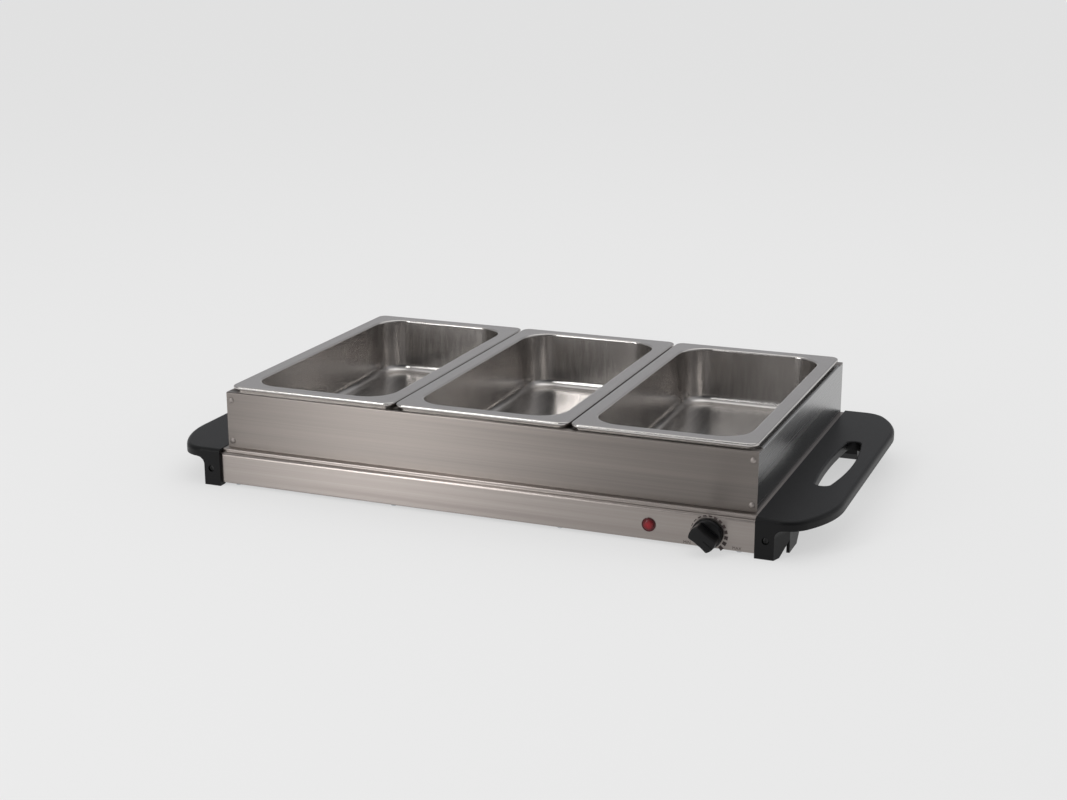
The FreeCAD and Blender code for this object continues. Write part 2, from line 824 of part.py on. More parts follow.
def make_heater():
    body = new_body("heating_element")
    path = new_sketch(body, "element_path", "XY_Plane", "place.element_height")
    bend_radius = "(place.element_outer - place.element_inner) / 2"
    draw_chain(
        path,
        [
            ("place.element_end", "-place.element_outer"),
            ("-place.element_bend", "-place.element_outer", f"-({bend_radius})"),
            ("-place.element_bend", "-place.element_inner"),
            ("place.element_bend", "-place.element_inner", "place.element_inner"),
            ("place.element_bend", "place.element_inner"),
            ("-place.element_bend", "place.element_inner", f"-({bend_radius})"),
            ("-place.element_bend", "place.element_outer"),
            ("place.element_end", "place.element_outer"),
        ],
        closed=False,
    )
    section = new_sketch(body, "element_section", "YZ_Plane", "place.element_end")
    draw_circle(section, "-place.element_outer", "place.element_height", "size.element_radius")
    pipe = body.newObject("PartDesign::AdditivePipe", "element_tube")
    pipe.Profile = section
    pipe.Spine = (path, [])
    document.recompute()
    keep("heating_element", body)

    bead = turned(
        "element_bead",
        "XY_Plane",
        "place.element_height",
        ("place.element_end", "-place.element_outer"),
        [
            ("0", "0"),
            ("size.bead_length + size.pin_length", "0"),
            ("size.bead_length + size.pin_length", "size.pin_radius"),
            ("size.bead_length", "size.pin_radius"),
            ("size.bead_length", "size.bead_radius / 2"),
            ("size.bead_length / 2", "size.bead_radius"),
            ("0", "size.bead_radius"),
        ],
        "H_Axis",
    )
    keep("element_terminals", group("element_terminal_pair", [bead, mirrored(bead, Vector(0, 1, 0))]))


def make_element_clips():
    ceiling = "place.tray_ceiling"
    foot = f"({ceiling} - size.clip_sheet)"
    inner = "(size.element_radius + size.fit_gap)"
    outer = f"({inner} + size.clip_sheet)"
    saddle = [
        (f"-{outer} - size.clip_foot", ceiling),
        (f"-{outer} - size.clip_foot", foot),
        (f"-{outer}", foot),
        (f"-{outer}", "place.element_height", outer),
        (outer, "place.element_height"),
        (outer, foot),
        (f"{outer} + size.clip_foot", foot),
        (f"{outer} + size.clip_foot", ceiling),
        (inner, ceiling),
        (inner, "place.element_height", f"-({inner})"),
        (f"-{inner}", "place.element_height"),
        (f"-{inner}", ceiling),
    ]
    rows = {"inner": "place.element_inner", "outer": "place.element_outer"}
    sets = []
    for name, row in rows.items():
        for spot in ("inner", "outer"):
            body = new_body(f"clip_{name}_{spot}")
            start = f"place.clip_{spot} - size.clip_width / 2"
            section = new_sketch(body, f"clip_{name}_{spot}_section", "YZ_Plane", start, (row, "0"))
            draw_chain(section, saddle)
            pad(body, section, "size.clip_width")
            sets.append(four_corners(f"clips_{name}_{spot}", body))
    keep("element_clips", group("element_clip_set", sets))


def make_heat_shield():
    body = new_body("heat_shield")
    floor = new_sketch(body, "shield_block", "XY_Plane", "place.tray_ceiling - size.shield_depth")
    draw_rounded(floor, "place.shield_half_length", "size.shield_half_depth", "size.shield_flange")
    pad(body, floor, "size.shield_depth")
    flange = new_sketch(body, "shield_flange", "XY_Plane", "place.tray_ceiling - size.shield_sheet")
    draw_rounded(
        flange,
        "place.shield_half_length + size.shield_flange",
        "size.shield_half_depth + size.shield_flange",
        "2 * size.shield_flange",
    )
    pad(body, flange, "size.shield_sheet")
    inside = new_sketch(body, "shield_inside", "XY_Plane", "place.tray_ceiling")
    draw_rounded(
        inside,
        "place.shield_half_length - size.shield_sheet",
        "place.shield_inner",
        "size.shield_flange - size.shield_sheet",
    )
    cut(body, inside, "size.shield_depth - size.shield_sheet")
    exits = new_sketch(body, "shield_exits", "YZ_Plane", "place.shield_half_length - 2 * size.shield_sheet")
    half = "(size.element_radius + size.fit_gap)"
    for sign in ("-", "+"):
        y = f"({sign}place.element_outer)"
        low = f"place.element_height - {half}"
        draw_box(exits, f"{y} - {half}", low, f"{y} + {half}", "place.tray_ceiling + 1")
    cut(body, exits, "size.shield_flange + 3 * size.shield_sheet", along=True)
    keep("heat_shield", body)


def make_thermal_cutout():
    shield_floor = "place.tray_ceiling - size.shield_depth"
    body = new_body("thermal_cutout")
    low = f"{shield_floor} - size.cutout_height"
    block = new_sketch(body, "cutout_block", "XY_Plane", low, ("size.cutout_place", "0"))
    draw_rounded(block, "size.cutout_length / 2", "size.cutout_width / 2", "size.cutout_width / 6")
    pad(body, block, "size.cutout_height")
    keep("thermal_cutout", body)

    strap = new_body("cutout_strap")
    start = "size.cutout_place - size.cutout_strap / 2"
    section = new_sketch(strap, "strap_section", "YZ_Plane", start)
    half = "(size.cutout_width / 2)"
    sheet = "size.clip_sheet"
    draw_chain(
        section,
        [
            (f"-{half} - size.clip_foot", shield_floor),
            (f"-{half} - size.clip_foot", f"{shield_floor} - {sheet}"),
            (f"-{half} - {sheet}", f"{shield_floor} - {sheet}"),
            (f"-{half} - {sheet}", f"{low} - {sheet}"),
            (f"{half} + {sheet}", f"{low} - {sheet}"),
            (f"{half} + {sheet}", f"{shield_floor} - {sheet}"),
            (f"{half} + size.clip_foot", f"{shield_floor} - {sheet}"),
            (f"{half} + size.clip_foot", shield_floor),
            (half, shield_floor),
            (half, low),
            (f"-{half}", low),
            (f"-{half}", shield_floor),
        ],
    )
    pad(strap, section, "size.cutout_strap")
    keep("cutout_strap", strap)


# Thermostat, its shaft and the knob


def make_thermostat():
    wall = "(place.tray_front - size.tray_sheet)"
    body = new_body("thermostat")
    block = new_sketch(body, "thermostat_block", "XZ_Plane", wall, ("place.knob_place", "size.knob_height"))
    draw_rounded(block, "size.thermostat_width / 2", "size.thermostat_height / 2", "size.shaft_radius")
    pad(body, block, "size.thermostat_depth", along=False)
    holes = new_sketch(body, "thermostat_bore", "XZ_Plane", wall, ("place.knob_place", "size.knob_height"))
    draw_circle(holes, "0", "0", "size.shaft_radius + size.shaft_clearance")
    cut(body, holes, "size.shaft_depth")
    taps = new_sketch(body, "thermostat_taps", "XZ_Plane", wall, ("place.knob_place", "size.knob_height"))
    for sign in ("-", "+"):
        draw_circle(taps, f"{sign}size.thermostat_screw_place", "0", "place.screw_hole")
    cut(body, taps, "size.thermostat_screw_length")
    keep("thermostat", body)

    profile = [(corner[0], f"-({corner[1]})") for corner in screw_profile("size.thermostat_screw_length")]
    screws = []
    for name, sign in (("left", "-"), ("right", "+")):
        x = f"place.knob_place {sign} size.thermostat_screw_place"
        place = (x, "place.tray_back")
        screws.append(turned(f"thermostat_screw_{name}", "XY_Plane", "size.knob_height", place, profile))
    keep("thermostat_screws", group("thermostat_screw_pair", screws))

    shaft = new_body("thermostat_shaft")
    inner_end = f"{wall} - size.shaft_depth + 1"
    centre = ("place.knob_place", "size.knob_height")
    rod = new_sketch(shaft, "shaft_section", "XZ_Plane", inner_end, centre)
    draw_circle(rod, "0", "0", "size.shaft_radius")
    pad(shaft, rod, "size.shaft_depth - 1 + size.tray_sheet + size.knob_gap + size.shaft_engagement")
    keep("thermostat_shaft", shaft)


def make_knob():
    body = new_body("control_knob")
    back = "place.tray_front + size.knob_gap"
    place = ("place.knob_place", "size.knob_height")
    skirt = new_sketch(body, "knob_skirt", "XZ_Plane", back, place)
    draw_circle(skirt, "0", "0", "size.knob_radius")
    pad(body, skirt, "size.knob_skirt")
    grip = new_sketch(body, "knob_grip", "XZ_Plane", f"{back} + size.knob_skirt", place)
    along = "sqrt(size.knob_grip_radius ^ 2 - size.knob_grip_end ^ 2)"
    across = "size.knob_grip_end"
    corners = []
    for u, v, radius in (
        (along, f"-{across}", "size.knob_grip_radius"),
        (along, across, "-size.knob_scoop_radius"),
        (f"-{along}", across, "size.knob_grip_radius"),
        (f"-{along}", f"-{across}", "-size.knob_scoop_radius"),
    ):
        x = f"{u} * cos(size.knob_angle) + ({v}) * sin(size.knob_angle)"
        y = f"({v}) * cos(size.knob_angle) - ({u}) * sin(size.knob_angle)"
        corners.append((x, y, radius))
    draw_chain(grip, corners)
    pad(body, grip, "size.knob_length - size.knob_skirt")
    grip_depth = evaluate("size.knob_length - size.knob_skirt")

    def grip_corners(edge):
        box = edge.BoundBox
        return box.XLength < 0.01 and box.ZLength < 0.01 and abs(box.YLength - grip_depth) < 0.01

    round_edges(body, "knob_corner", "size.knob_corner", grip_corners)
    tip = evaluate(f"-({back} + size.knob_length)")
    round_edges(body, "knob_top_edge", "size.knob_top_edge", lambda edge: lies_at(edge, "Y", tip))
    bore = new_sketch(body, "knob_bore", "XZ_Plane", back, place)
    draw_circle(bore, "0", "0", "size.shaft_radius")
    cut(body, bore, "size.shaft_engagement", along=True)
    relief = new_sketch(body, "knob_relief", "XZ_Plane", back, place)
    draw_circle(relief, "0", "0", "size.knob_radius - 2")
    draw_circle(relief, "0", "0", "size.knob_boss")
    cut(body, relief, "size.knob_skirt - 2", along=True)
    keep("control_knob", body)


# Lamp


def make_lamp():
    place = ("place.lamp_place", "place.tray_back")
    lens = turned(
        "lamp_lens",
        "XY_Plane",
        "size.lamp_height",
        place,
        [
            ("0", "-size.lamp_rise", "(size.lamp_radius ^ 2 + size.lamp_rise ^ 2) / (2 * size.lamp_rise)"),
            ("size.lamp_radius", "-0.35 * size.lamp_rise"),
            ("size.lamp_radius", "0"),
            ("size.lamp_bore", "0"),
            ("size.lamp_bore", "2 * size.tray_sheet"),
            ("0", "2 * size.tray_sheet"),
        ],
    )
    keep("lamp_lens", lens)
    holder = turned(
        "lamp_holder",
        "XY_Plane",
        "size.lamp_height",
        place,
        [
            ("0", "2 * size.tray_sheet"),
            ("size.lamp_bore", "2 * size.tray_sheet"),
            ("size.lamp_bore", "size.lamp_body_length - size.lamp_flange"),
            ("size.lamp_bore - size.lamp_flange", "size.lamp_body_length"),
            ("0", "size.lamp_body_length"),
        ],
    )
    keep("lamp_holder", holder)
    clip = new_body("lamp_clip")
    inside = "place.tray_front - size.tray_sheet"
    ring = new_sketch(clip, "lamp_clip_ring", "XZ_Plane", inside, ("place.lamp_place", "size.lamp_height"))
    draw_rounded(ring, "size.lamp_clip_half", "size.lamp_clip_half", "size.lamp_clip_sheet")
    draw_circle(ring, "0", "0", "size.lamp_bore + size.fit_gap")
    pad(clip, ring, "size.lamp_clip_sheet", along=False)
    keep("lamp_clip", clip)


# Terminals, earth and the cord's gland


block_front = "(place.tray_front - size.block_back_gap - size.block_depth)"


def make_terminal_block():
    body = new_body("terminal_block")
    block = new_sketch(body, "block_outline", "XY_Plane", "size.skirt_gap")
    left = "place.block_place - size.block_width / 2"
    draw_box(block, left, block_front, f"{left} + size.block_width", f"{block_front} + size.block_depth")
    pad(body, block, "size.block_height")
    wells = new_sketch(body, "block_wells", "XY_Plane", "size.skirt_gap + size.block_height")
    middle = f"{block_front} + size.block_depth / 2"
    for pole in (-1, 0, 1):
        x = f"place.block_place + {pole} * size.block_pole_pitch"
        draw_circle(wells, x, middle, "size.block_pole_radius")
    cut(body, wells, "size.block_screw_length + 1")
    keep("terminal_block", body)

    screws = []
    for pole in (-1, 0, 1):
        screw = document.addObject("Part::Cylinder", f"terminal_screw_{pole + 2}")
        screw.setExpression("Radius", "size.block_pole_radius - size.fit_gap")
        screw.setExpression("Height", "size.block_screw_length")
        screw.setExpression("Placement.Base.x", f"place.block_place + {pole} * size.block_pole_pitch")
        screw.setExpression("Placement.Base.y", middle)
        bottom = "size.skirt_gap + size.block_height - size.block_screw_length - 1"
        screw.setExpression("Placement.Base.z", bottom)
        screws.append(screw)
    keep("terminal_screws", group("terminal_screw_set", screws))


def make_earth_stud():
    place = ("place.earth_place", "place.tray_front")
    stud = turned(
        "earth_stud",
        "XY_Plane",
        "size.earth_height",
        place,
        [
            ("0", "size.screw_head_height"),
            ("0", "-size.earth_stud_length"),
            ("size.screw_shank", "-size.earth_stud_length"),
            ("size.screw_shank", "0"),
            ("size.screw_head", "0"),
            ("size.screw_head / 2", "size.screw_head_height"),
        ],
    )
    keep("earth_stud", stud)
    nut = new_body("earth_nut")
    inside = "-(place.tray_front - size.tray_sheet)"
    centre = ("place.earth_place", "size.earth_height")
    shape = new_sketch(nut, "earth_nut_shape", "XZ_Plane", inside, centre)
    corner = "size.earth_nut_radius"
    hexagon = [(f"{corner} * cos({60 * n})", f"{corner} * sin({60 * n})") for n in range(6)]
    draw_chain(shape, hexagon)
    draw_circle(shape, "0", "0", "place.screw_hole")
    pad(nut, shape, "size.earth_nut_height")
    keep("earth_nut", nut)


def make_gland():
    gland = turned(
        "cord_gland",
        "XY_Plane",
        "size.gland_height",
        ("place.gland_place", "place.tray_front"),
        [
            ("size.gland_bore", "-size.gland_inner_length"),
            ("size.gland_barrel", "-size.gland_inner_length"),
            ("size.gland_barrel", "0"),
            ("size.gland_flange", "0"),
            ("size.gland_flange", "size.gland_flange_height - 1"),
            ("size.gland_flange - 1", "size.gland_flange_height"),
            ("size.gland_nose", "size.gland_flange_height"),
            ("size.gland_nose - 1", "size.gland_flange_height + size.gland_nose_length"),
            ("size.gland_bore", "size.gland_flange_height + size.gland_nose_length"),
        ],
    )
    keep("cord_gland", gland)


# Wires held inside the tray


def wire_shape(points):
    # Straight runs joined by tangent arcs, with a round section swept along them.
    places = [Vector(*(evaluate(value) for value in point)) for point in points]
    edges = []
    start = places[0]
    for before, corner, after in zip(places, places[1:], places[2:]):
        into = (corner - before).normalize()
        out = (after - corner).normalize()
        turn = into.getAngle(out)
        shorter = min((corner - before).Length, (after - corner).Length)
        setback = 0.45 * shorter
        radius = setback / math.tan(turn / 2)
        first = corner - into * setback
        last = corner + out * setback
        toward = (out - into).normalize()
        middle = corner + toward * (radius / math.cos(turn / 2) - radius)
        edges.append(Part.LineSegment(start, first).toShape())
        edges.append(Part.Arc(first, middle, last).toShape())
        start = last
    edges.append(Part.LineSegment(start, places[-1]).toShape())
    path = Part.Wire(edges)
    direction = (places[1] - places[0]).normalize()
    section = Part.Wire(Part.makeCircle(evaluate("size.wire_radius"), places[0], direction))
    return path.makePipeShell([section], True, False)


def make_wires():
    wall = "(place.tray_front - size.tray_sheet)"
    back = f"(-{wall} + size.thermostat_depth)"
    level = "size.wire_height"
    right = "(place.knob_place + size.thermostat_width / 2)"
    pin_end = "(place.element_end + size.bead_length + size.pin_length / 2)"
    pin_low = "place.element_height - size.pin_radius"
    lamp_back = "(place.tray_back + size.lamp_body_length)"
    pole = "(place.block_place + {} * size.block_pole_pitch)"
    live = pole.format(1)
    neutral = pole.format(0)
    earth = pole.format(-1)
    row = "place.element_outer"
    lamp_left = "place.lamp_place - size.lamp_bore / 2"
    lamp_right = "place.lamp_place + size.lamp_bore / 2"
    thermostat_left = "place.knob_place - size.thermostat_width / 4"
    stud_end = "place.tray_front - size.earth_stud_length"
    runs = {
        "live_wire": [
            (live, block_front, level),
            (live, "0", level),
            (thermostat_left, f"{back} + 60", level),
            (thermostat_left, back, level),
        ],
        "heater_wire": [
            (f"{right} - 4", back, level),
            (f"{right} - 4", f"{back} + 20", level),
            (pin_end, f"-{row}", f"{level} + 6"),
            (pin_end, f"-{row}", pin_low),
        ],
        "return_wire": [
            (pin_end, row, pin_low),
            (pin_end, row, f"{level} + 6"),
            (neutral, f"{block_front} - 24", level),
            (neutral, block_front, level),
        ],
        "lamp_live_wire": [
            (lamp_right, lamp_back, "size.lamp_height"),
            (lamp_right, f"{lamp_back} + 25", "size.lamp_height"),
            (f"{thermostat_left} - 5", f"{back} + 22", f"{level} + 8"),
            (f"{thermostat_left} - 5", back, f"{level} + 8"),
        ],
        "lamp_neutral_wire": [
            (lamp_left, lamp_back, "size.lamp_height"),
            (lamp_left, "-40", "size.lamp_height"),
            (f"{neutral} - 4", "20", level),
            (f"{neutral} - 4", block_front, level),
        ],
        "earth_wire": [
            (earth, f"{block_front}", level),
            (earth, f"{block_front} - 30", level),
            ("place.earth_place", f"{block_front} - 10", "size.earth_height"),
            ("place.earth_place", stud_end, "size.earth_height"),
        ],
    }
    solids = [wire_shape(points) for points in runs.values()]
    wires = document.addObject("Part::Feature", "internal_wires")
    wires.Shape = Part.makeCompound(solids)
    keep("internal_wires", wires)


# Pan frame


def make_frame_panels():
    body = new_body("front_panel")
    section = new_sketch(body, "front_panel_section", "YZ_Plane", "-place.frame_half")
    outer = "-place.frame_front"
    inner = "-place.frame_front + size.frame_sheet"
    draw_chain(
        section,
        [
            (outer, "size.platform_height"),
            (outer, "place.frame_top - size.frame_fold", "-size.frame_fold"),
            (f"{outer} + size.frame_fold", "place.frame_top"),
            ("-place.ledge_end", "place.frame_top"),
            ("-place.ledge_end", "place.frame_top - size.frame_sheet"),
            (
                f"{outer} + size.frame_fold",
                "place.frame_top - size.frame_sheet",
                "size.frame_fold - size.frame_sheet",
            ),
            (inner, "place.frame_top - size.frame_fold"),
            (inner, "size.platform_height"),
        ],
    )
    pad(body, section, "2 * place.frame_half")
    holes = new_sketch(body, "front_panel_holes", "XZ_Plane", "place.frame_front")
    draw_rivet_holes(holes)
    cut(body, holes, "size.frame_sheet")
    keep("front_panel", body)
    keep("rear_panel", mirrored(body, Vector(0, 1, 0)))

    side = new_body("right_panel")
    edge = "(place.frame_front - size.frame_sheet)"
    lip = "(place.frame_front - 2 * size.frame_sheet)"
    outside = "place.frame_half"
    inside = "place.frame_half - size.frame_sheet"
    flange = "place.frame_half - size.frame_flange"
    plan = new_sketch(side, "right_panel_plan", "XY_Plane", "size.platform_height")
    draw_chain(
        plan,
        [
            (outside, f"-{edge}"),
            (outside, edge),
            (flange, edge),
            (flange, lip),
            (inside, lip),
            (inside, f"-{lip}"),
            (flange, f"-{lip}"),
            (flange, f"-{edge}"),
        ],
    )
    pad(side, plan, "size.frame_height - size.frame_fold")
    ledge = new_sketch(side, "right_panel_ledge", "XZ_Plane", "-place.ledge_end")
    draw_chain(
        ledge,
        [
            (outside, "place.frame_top - size.frame_fold - size.frame_sheet"),
            (outside, "place.frame_top - size.frame_fold", "size.frame_fold"),
            (f"{outside} - size.frame_fold", "place.frame_top"),
            (f"{outside} - size.frame_ledge", "place.frame_top"),
            (f"{outside} - size.frame_ledge", "place.frame_top - size.frame_sheet"),
            (
                f"{outside} - size.frame_fold",
                "place.frame_top - size.frame_sheet",
                "-(size.frame_fold - size.frame_sheet)",
            ),
            (inside, "place.frame_top - size.frame_fold"),
            (inside, "place.frame_top - size.frame_fold - size.frame_sheet"),
        ],
    )
    pad(side, ledge, "2 * place.ledge_end")
    holes = new_sketch(side, "right_panel_holes", "XZ_Plane", "place.frame_front")
    draw_rivet_holes(holes, ("+",))
    cut(side, holes, "2 * place.frame_front")
    keep("right_panel", side)
    keep("left_panel", mirrored(side, Vector(1, 0, 0)))


def draw_rivet_holes(sketch, signs=("-", "+")):
    for sign in signs:
        for height in ("size.rivet_lower", "size.rivet_upper"):
            x = f"{sign}(place.frame_half - size.rivet_inset)"
            draw_circle(sketch, x, f"size.platform_height + {height}", "size.rivet_shank + size.fit_gap")


def make_rivets():
    profile = [
        ("0", "-size.rivet_dome", "(size.rivet_head ^ 2 + size.rivet_dome ^ 2) / (2 * size.rivet_dome)"),
        ("size.rivet_head", "0"),
        ("size.rivet_shank", "0"),
        ("size.rivet_shank", "2 * size.frame_sheet"),
        ("1.6 * size.rivet_shank", "2 * size.frame_sheet"),
        ("1.6 * size.rivet_shank", "3 * size.frame_sheet"),
        ("0", "3 * size.frame_sheet"),
    ]
    x = "place.frame_half - size.rivet_inset"
    sets = []
    for name in ("lower", "upper"):
        level = f"size.platform_height + size.rivet_{name}"
        rivet = turned(f"rivet_{name}", "XY_Plane", level, (x, "-place.frame_front"), profile)
        sets.append(four_corners(f"rivets_{name}", rivet))
    keep("frame_rivets", group("frame_rivet_set", sets))


def make_cross_bars():
    body = new_body("right_cross_bar")
    middle = "place.pan_pitch / 2"
    under = "(place.frame_top - size.frame_sheet)"
    tab = new_sketch(body, "bar_channel", "XZ_Plane", "-(place.frame_front - 2 * size.frame_sheet)")
    half = "size.bar_width / 2"
    sheet = "size.frame_sheet"
    draw_chain(
        tab,
        [
            (f"{middle} - {half}", f"{under} - size.bar_height"),
            (f"{middle} - {half} + {sheet}", f"{under} - size.bar_height"),
            (f"{middle} - {half} + {sheet}", f"{under} - {sheet}"),
            (f"{middle} + {half} - {sheet}", f"{under} - {sheet}"),
            (f"{middle} + {half} - {sheet}", f"{under} - size.bar_height"),
            (f"{middle} + {half}", f"{under} - size.bar_height"),
            (f"{middle} + {half}", under),
            (f"{middle} - {half}", under),
        ],
    )
    pad(body, tab, "2 * (place.frame_front - 2 * size.frame_sheet)")
    top = new_sketch(body, "bar_top", "XY_Plane", under)
    end = "(place.ledge_end - size.fit_gap)"
    draw_box(top, f"{middle} - {half}", f"-{end}", f"{middle} + {half}", end)
    pad(body, top, "size.frame_sheet")
    keep("right_cross_bar", body)
    keep("left_cross_bar", mirrored(body, Vector(1, 0, 0)))


# Pans


def make_pan(label, shift):
    body = new_body(label)
    rim_bottom = "place.frame_top"
    rim_top = "place.frame_top + size.rim_height"
    well_depth = "(size.frame_height - size.well_clearance)"
    well_half_width = "(size.pan_width / 2 - size.rim_width)"
    well_half_length = "(size.pan_length / 2 - size.rim_width)"

    # The rim stands on an inset foot, so its rolled edge clears the frame all round.
    foot = new_sketch(body, f"{label}_foot", "XY_Plane", rim_bottom)
    draw_rounded(
        foot,
        "size.pan_width / 2 - size.rim_roll",
        "size.pan_length / 2 - size.rim_roll",
        "size.rim_corner - size.rim_roll",
    )
    pad(body, foot, "size.rim_height")
    rim = new_sketch(body, f"{label}_rim", "XY_Plane", f"{rim_bottom} + size.rim_stand")
    draw_rounded(rim, "size.pan_width / 2", "size.pan_length / 2", "size.rim_corner")
    pad(body, rim, "size.rim_height - size.rim_stand")
    top = evaluate(rim_top)
    round_edges(body, f"{label}_rim_edge", "size.rim_edge", lambda edge: lies_at(edge, "Z", top))
    roll_bottom = evaluate(f"{rim_bottom} + size.rim_stand")
    side = evaluate("size.pan_width / 2") - 0.1
    end = evaluate("size.pan_length / 2") - 0.1

    def roll_edges(edge):
        box = edge.BoundBox
        outermost = max(-box.XMin, box.XMax) > side or max(-box.YMin, box.YMax) > end
        return lies_at(edge, "Z", roll_bottom) and outermost

    round_edges(body, f"{label}_roll_edge", "size.rim_roll_edge", roll_edges)
    well = new_sketch(body, f"{label}_well", "XY_Plane", rim_bottom)
    draw_rounded(well, well_half_width, well_half_length, "size.well_corner")
    pad(body, well, well_depth, along=False, taper="-size.well_taper")

    spread = "(size.rim_height * tan(size.well_taper) - size.pan_sheet)"
    cavity = new_sketch(body, f"{label}_cavity", "XY_Plane", rim_top)
    draw_rounded(
        cavity,
        f"{well_half_width} + {spread}",
        f"{well_half_length} + {spread}",
        f"size.well_corner + {spread}",
    )
    cut(body, cavity, f"{well_depth} + size.rim_height - size.pan_sheet", taper="-size.well_taper")
    inner_floor = evaluate(f"{rim_bottom} - {well_depth} + size.pan_sheet")
    inner_radius = "size.well_floor_edge - size.pan_sheet"
    round_edges(body, f"{label}_inner_edge", inner_radius, lambda edge: lies_at(edge, "Z", inner_floor))
    floor = evaluate(f"{rim_bottom} - {well_depth}")
    round_edges(body, f"{label}_floor_edge", "size.well_floor_edge", lambda edge: lies_at(edge, "Z", floor))
    cavity_limit = evaluate(f"{well_half_width} + {spread}") + 0.1

    def cavity_edges(edge):
        return lies_at(edge, "Z", top) and abs(edge.BoundBox.XMax) < cavity_limit

    round_edges(body, f"{label}_lip_edge", "size.well_lip", cavity_edges)
    under = new_sketch(body, f"{label}_under_rim", "XY_Plane", rim_bottom)
    draw_rounded(
        under,
        "size.pan_width / 2 - size.rim_roll - size.rim_foot",
        "size.pan_length / 2 - size.rim_roll - size.rim_foot",
        "size.rim_corner - size.rim_roll - size.rim_foot",
    )
    draw_rounded(under, well_half_width, well_half_length, "size.well_corner")
    cut(body, under, "size.rim_height - size.pan_sheet", along=True)
    ceiling = top - evaluate("size.pan_sheet")
    well_limit = evaluate(well_half_width) + 0.1

    def neck_edges(edge):
        return lies_at(edge, "Z", ceiling) and edge.BoundBox.XMax < well_limit

    round_edges(body, f"{label}_neck_edge", "size.well_lip - size.pan_sheet", neck_edges)
    body.setExpression("Placement.Base.x", shift)
    document.recompute()
    keep(label, body)


make_tray_shell()
make_bottom_cover()
make_cover_screws()
make_handle()
make_handle_fastenings()
make_heater()
make_element_clips()
make_heat_shield()
make_thermal_cutout()
make_thermostat()
make_knob()
make_lamp()
make_terminal_block()
make_earth_stud()
make_gland()
make_wires()
make_frame_panels()
make_rivets()
make_cross_bars()
make_pan("left_pan", "-place.pan_pitch")
make_pan("centre_pan", "0")
make_pan("right_pan", "place.pan_pitch")
document.recompute()

# Every object has to be sound before anything is written
for item in document.Objects:
    if "Invalid" in item.State or "Error" in item.State:
        raise RuntimeError(f"{item.Name} did not recompute: {item.State}")
for label, item in nodes.items():
    if item.Shape.isNull() or not item.Shape.isValid() or not item.Shape.Solids:
        raise RuntimeError(f"{label} has no valid solid")

for label, item in nodes.items():
    item.Shape.exportStep(f"parts/{label}.step")
    box = item.Shape.BoundBox
    print(
        f"{label}: {len(item.Shape.Solids)} solids, {item.Shape.Volume:.0f} mm3, "
        f"x {box.XMin:.1f} {box.XMax:.1f}, y {box.YMin:.1f} {box.YMax:.1f}, z {box.ZMin:.1f} {box.ZMax:.1f}"
    )
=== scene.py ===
import math

import bpy
from mathutils import Matrix, Vector


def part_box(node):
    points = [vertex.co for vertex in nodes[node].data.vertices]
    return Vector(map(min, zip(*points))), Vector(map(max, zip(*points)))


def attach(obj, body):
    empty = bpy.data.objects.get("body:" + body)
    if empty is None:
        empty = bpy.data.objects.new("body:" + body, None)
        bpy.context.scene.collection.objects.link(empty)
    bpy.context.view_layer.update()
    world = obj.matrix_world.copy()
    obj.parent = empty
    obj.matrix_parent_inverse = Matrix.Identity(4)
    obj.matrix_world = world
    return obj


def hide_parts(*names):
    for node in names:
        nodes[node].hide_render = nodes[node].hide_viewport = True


# Looks for the food warmer tray: finishes for every sheet and moulding, and finer pieces for
# the knob, the lamp, the screws, the rivets, the cord bush and the print round the dial.
# Metres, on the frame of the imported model: the ground is z 0 and the knob is on the -Y side.

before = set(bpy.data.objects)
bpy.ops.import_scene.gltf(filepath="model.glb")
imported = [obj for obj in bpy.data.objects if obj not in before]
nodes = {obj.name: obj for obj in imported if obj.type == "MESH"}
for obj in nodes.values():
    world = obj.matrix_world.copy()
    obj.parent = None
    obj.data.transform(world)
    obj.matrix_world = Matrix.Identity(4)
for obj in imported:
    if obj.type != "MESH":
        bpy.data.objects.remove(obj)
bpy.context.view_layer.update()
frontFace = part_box("tray_shell")[0].y  # the tray's front wall
print("frame loaded:", len(nodes), "nodes")


# Hand tools


def linear(hexText):
    # sRGB hex to the linear colour that Blender's sockets hold
    values = [int(hexText[i : i + 2], 16) / 255 for i in (1, 3, 5)]
    return [v / 12.92 if v <= 0.04045 else ((v + 0.055) / 1.055) ** 2.4 for v in values] + [1.0]


def leaveEdit():
    if bpy.context.object and bpy.context.object.mode != "OBJECT":
        bpy.ops.object.mode_set(mode="OBJECT")
    bpy.ops.object.select_all(action="DESELECT")


def pick(*pieces):
    leaveEdit()
    for piece in pieces:
        piece.select_set(True)
    bpy.context.view_layer.objects.active = pieces[0]


def editFaces(piece):
    # edit mode with every face selected
    pick(piece)
    bpy.ops.object.mode_set(mode="EDIT")
    bpy.ops.mesh.select_mode(type="FACE")
    bpy.ops.mesh.select_all(action="SELECT")


def applyAll(piece):
    pick(piece)
    for modifier in list(piece.modifiers):
        bpy.ops.object.modifier_apply(modifier=modifier.name)


def carve(piece, cutter):
    # takes the cutter out of the piece
    hole = piece.modifiers.new("carve", "BOOLEAN")
    hole.operation = "DIFFERENCE"
    hole.solver = "EXACT"
    hole.object = cutter
    applyAll(piece)
    bpy.data.objects.remove(cutter)


def smooth(piece, angle):
    pick(piece)
    bpy.ops.object.shade_smooth_by_angle(angle=math.radians(angle))


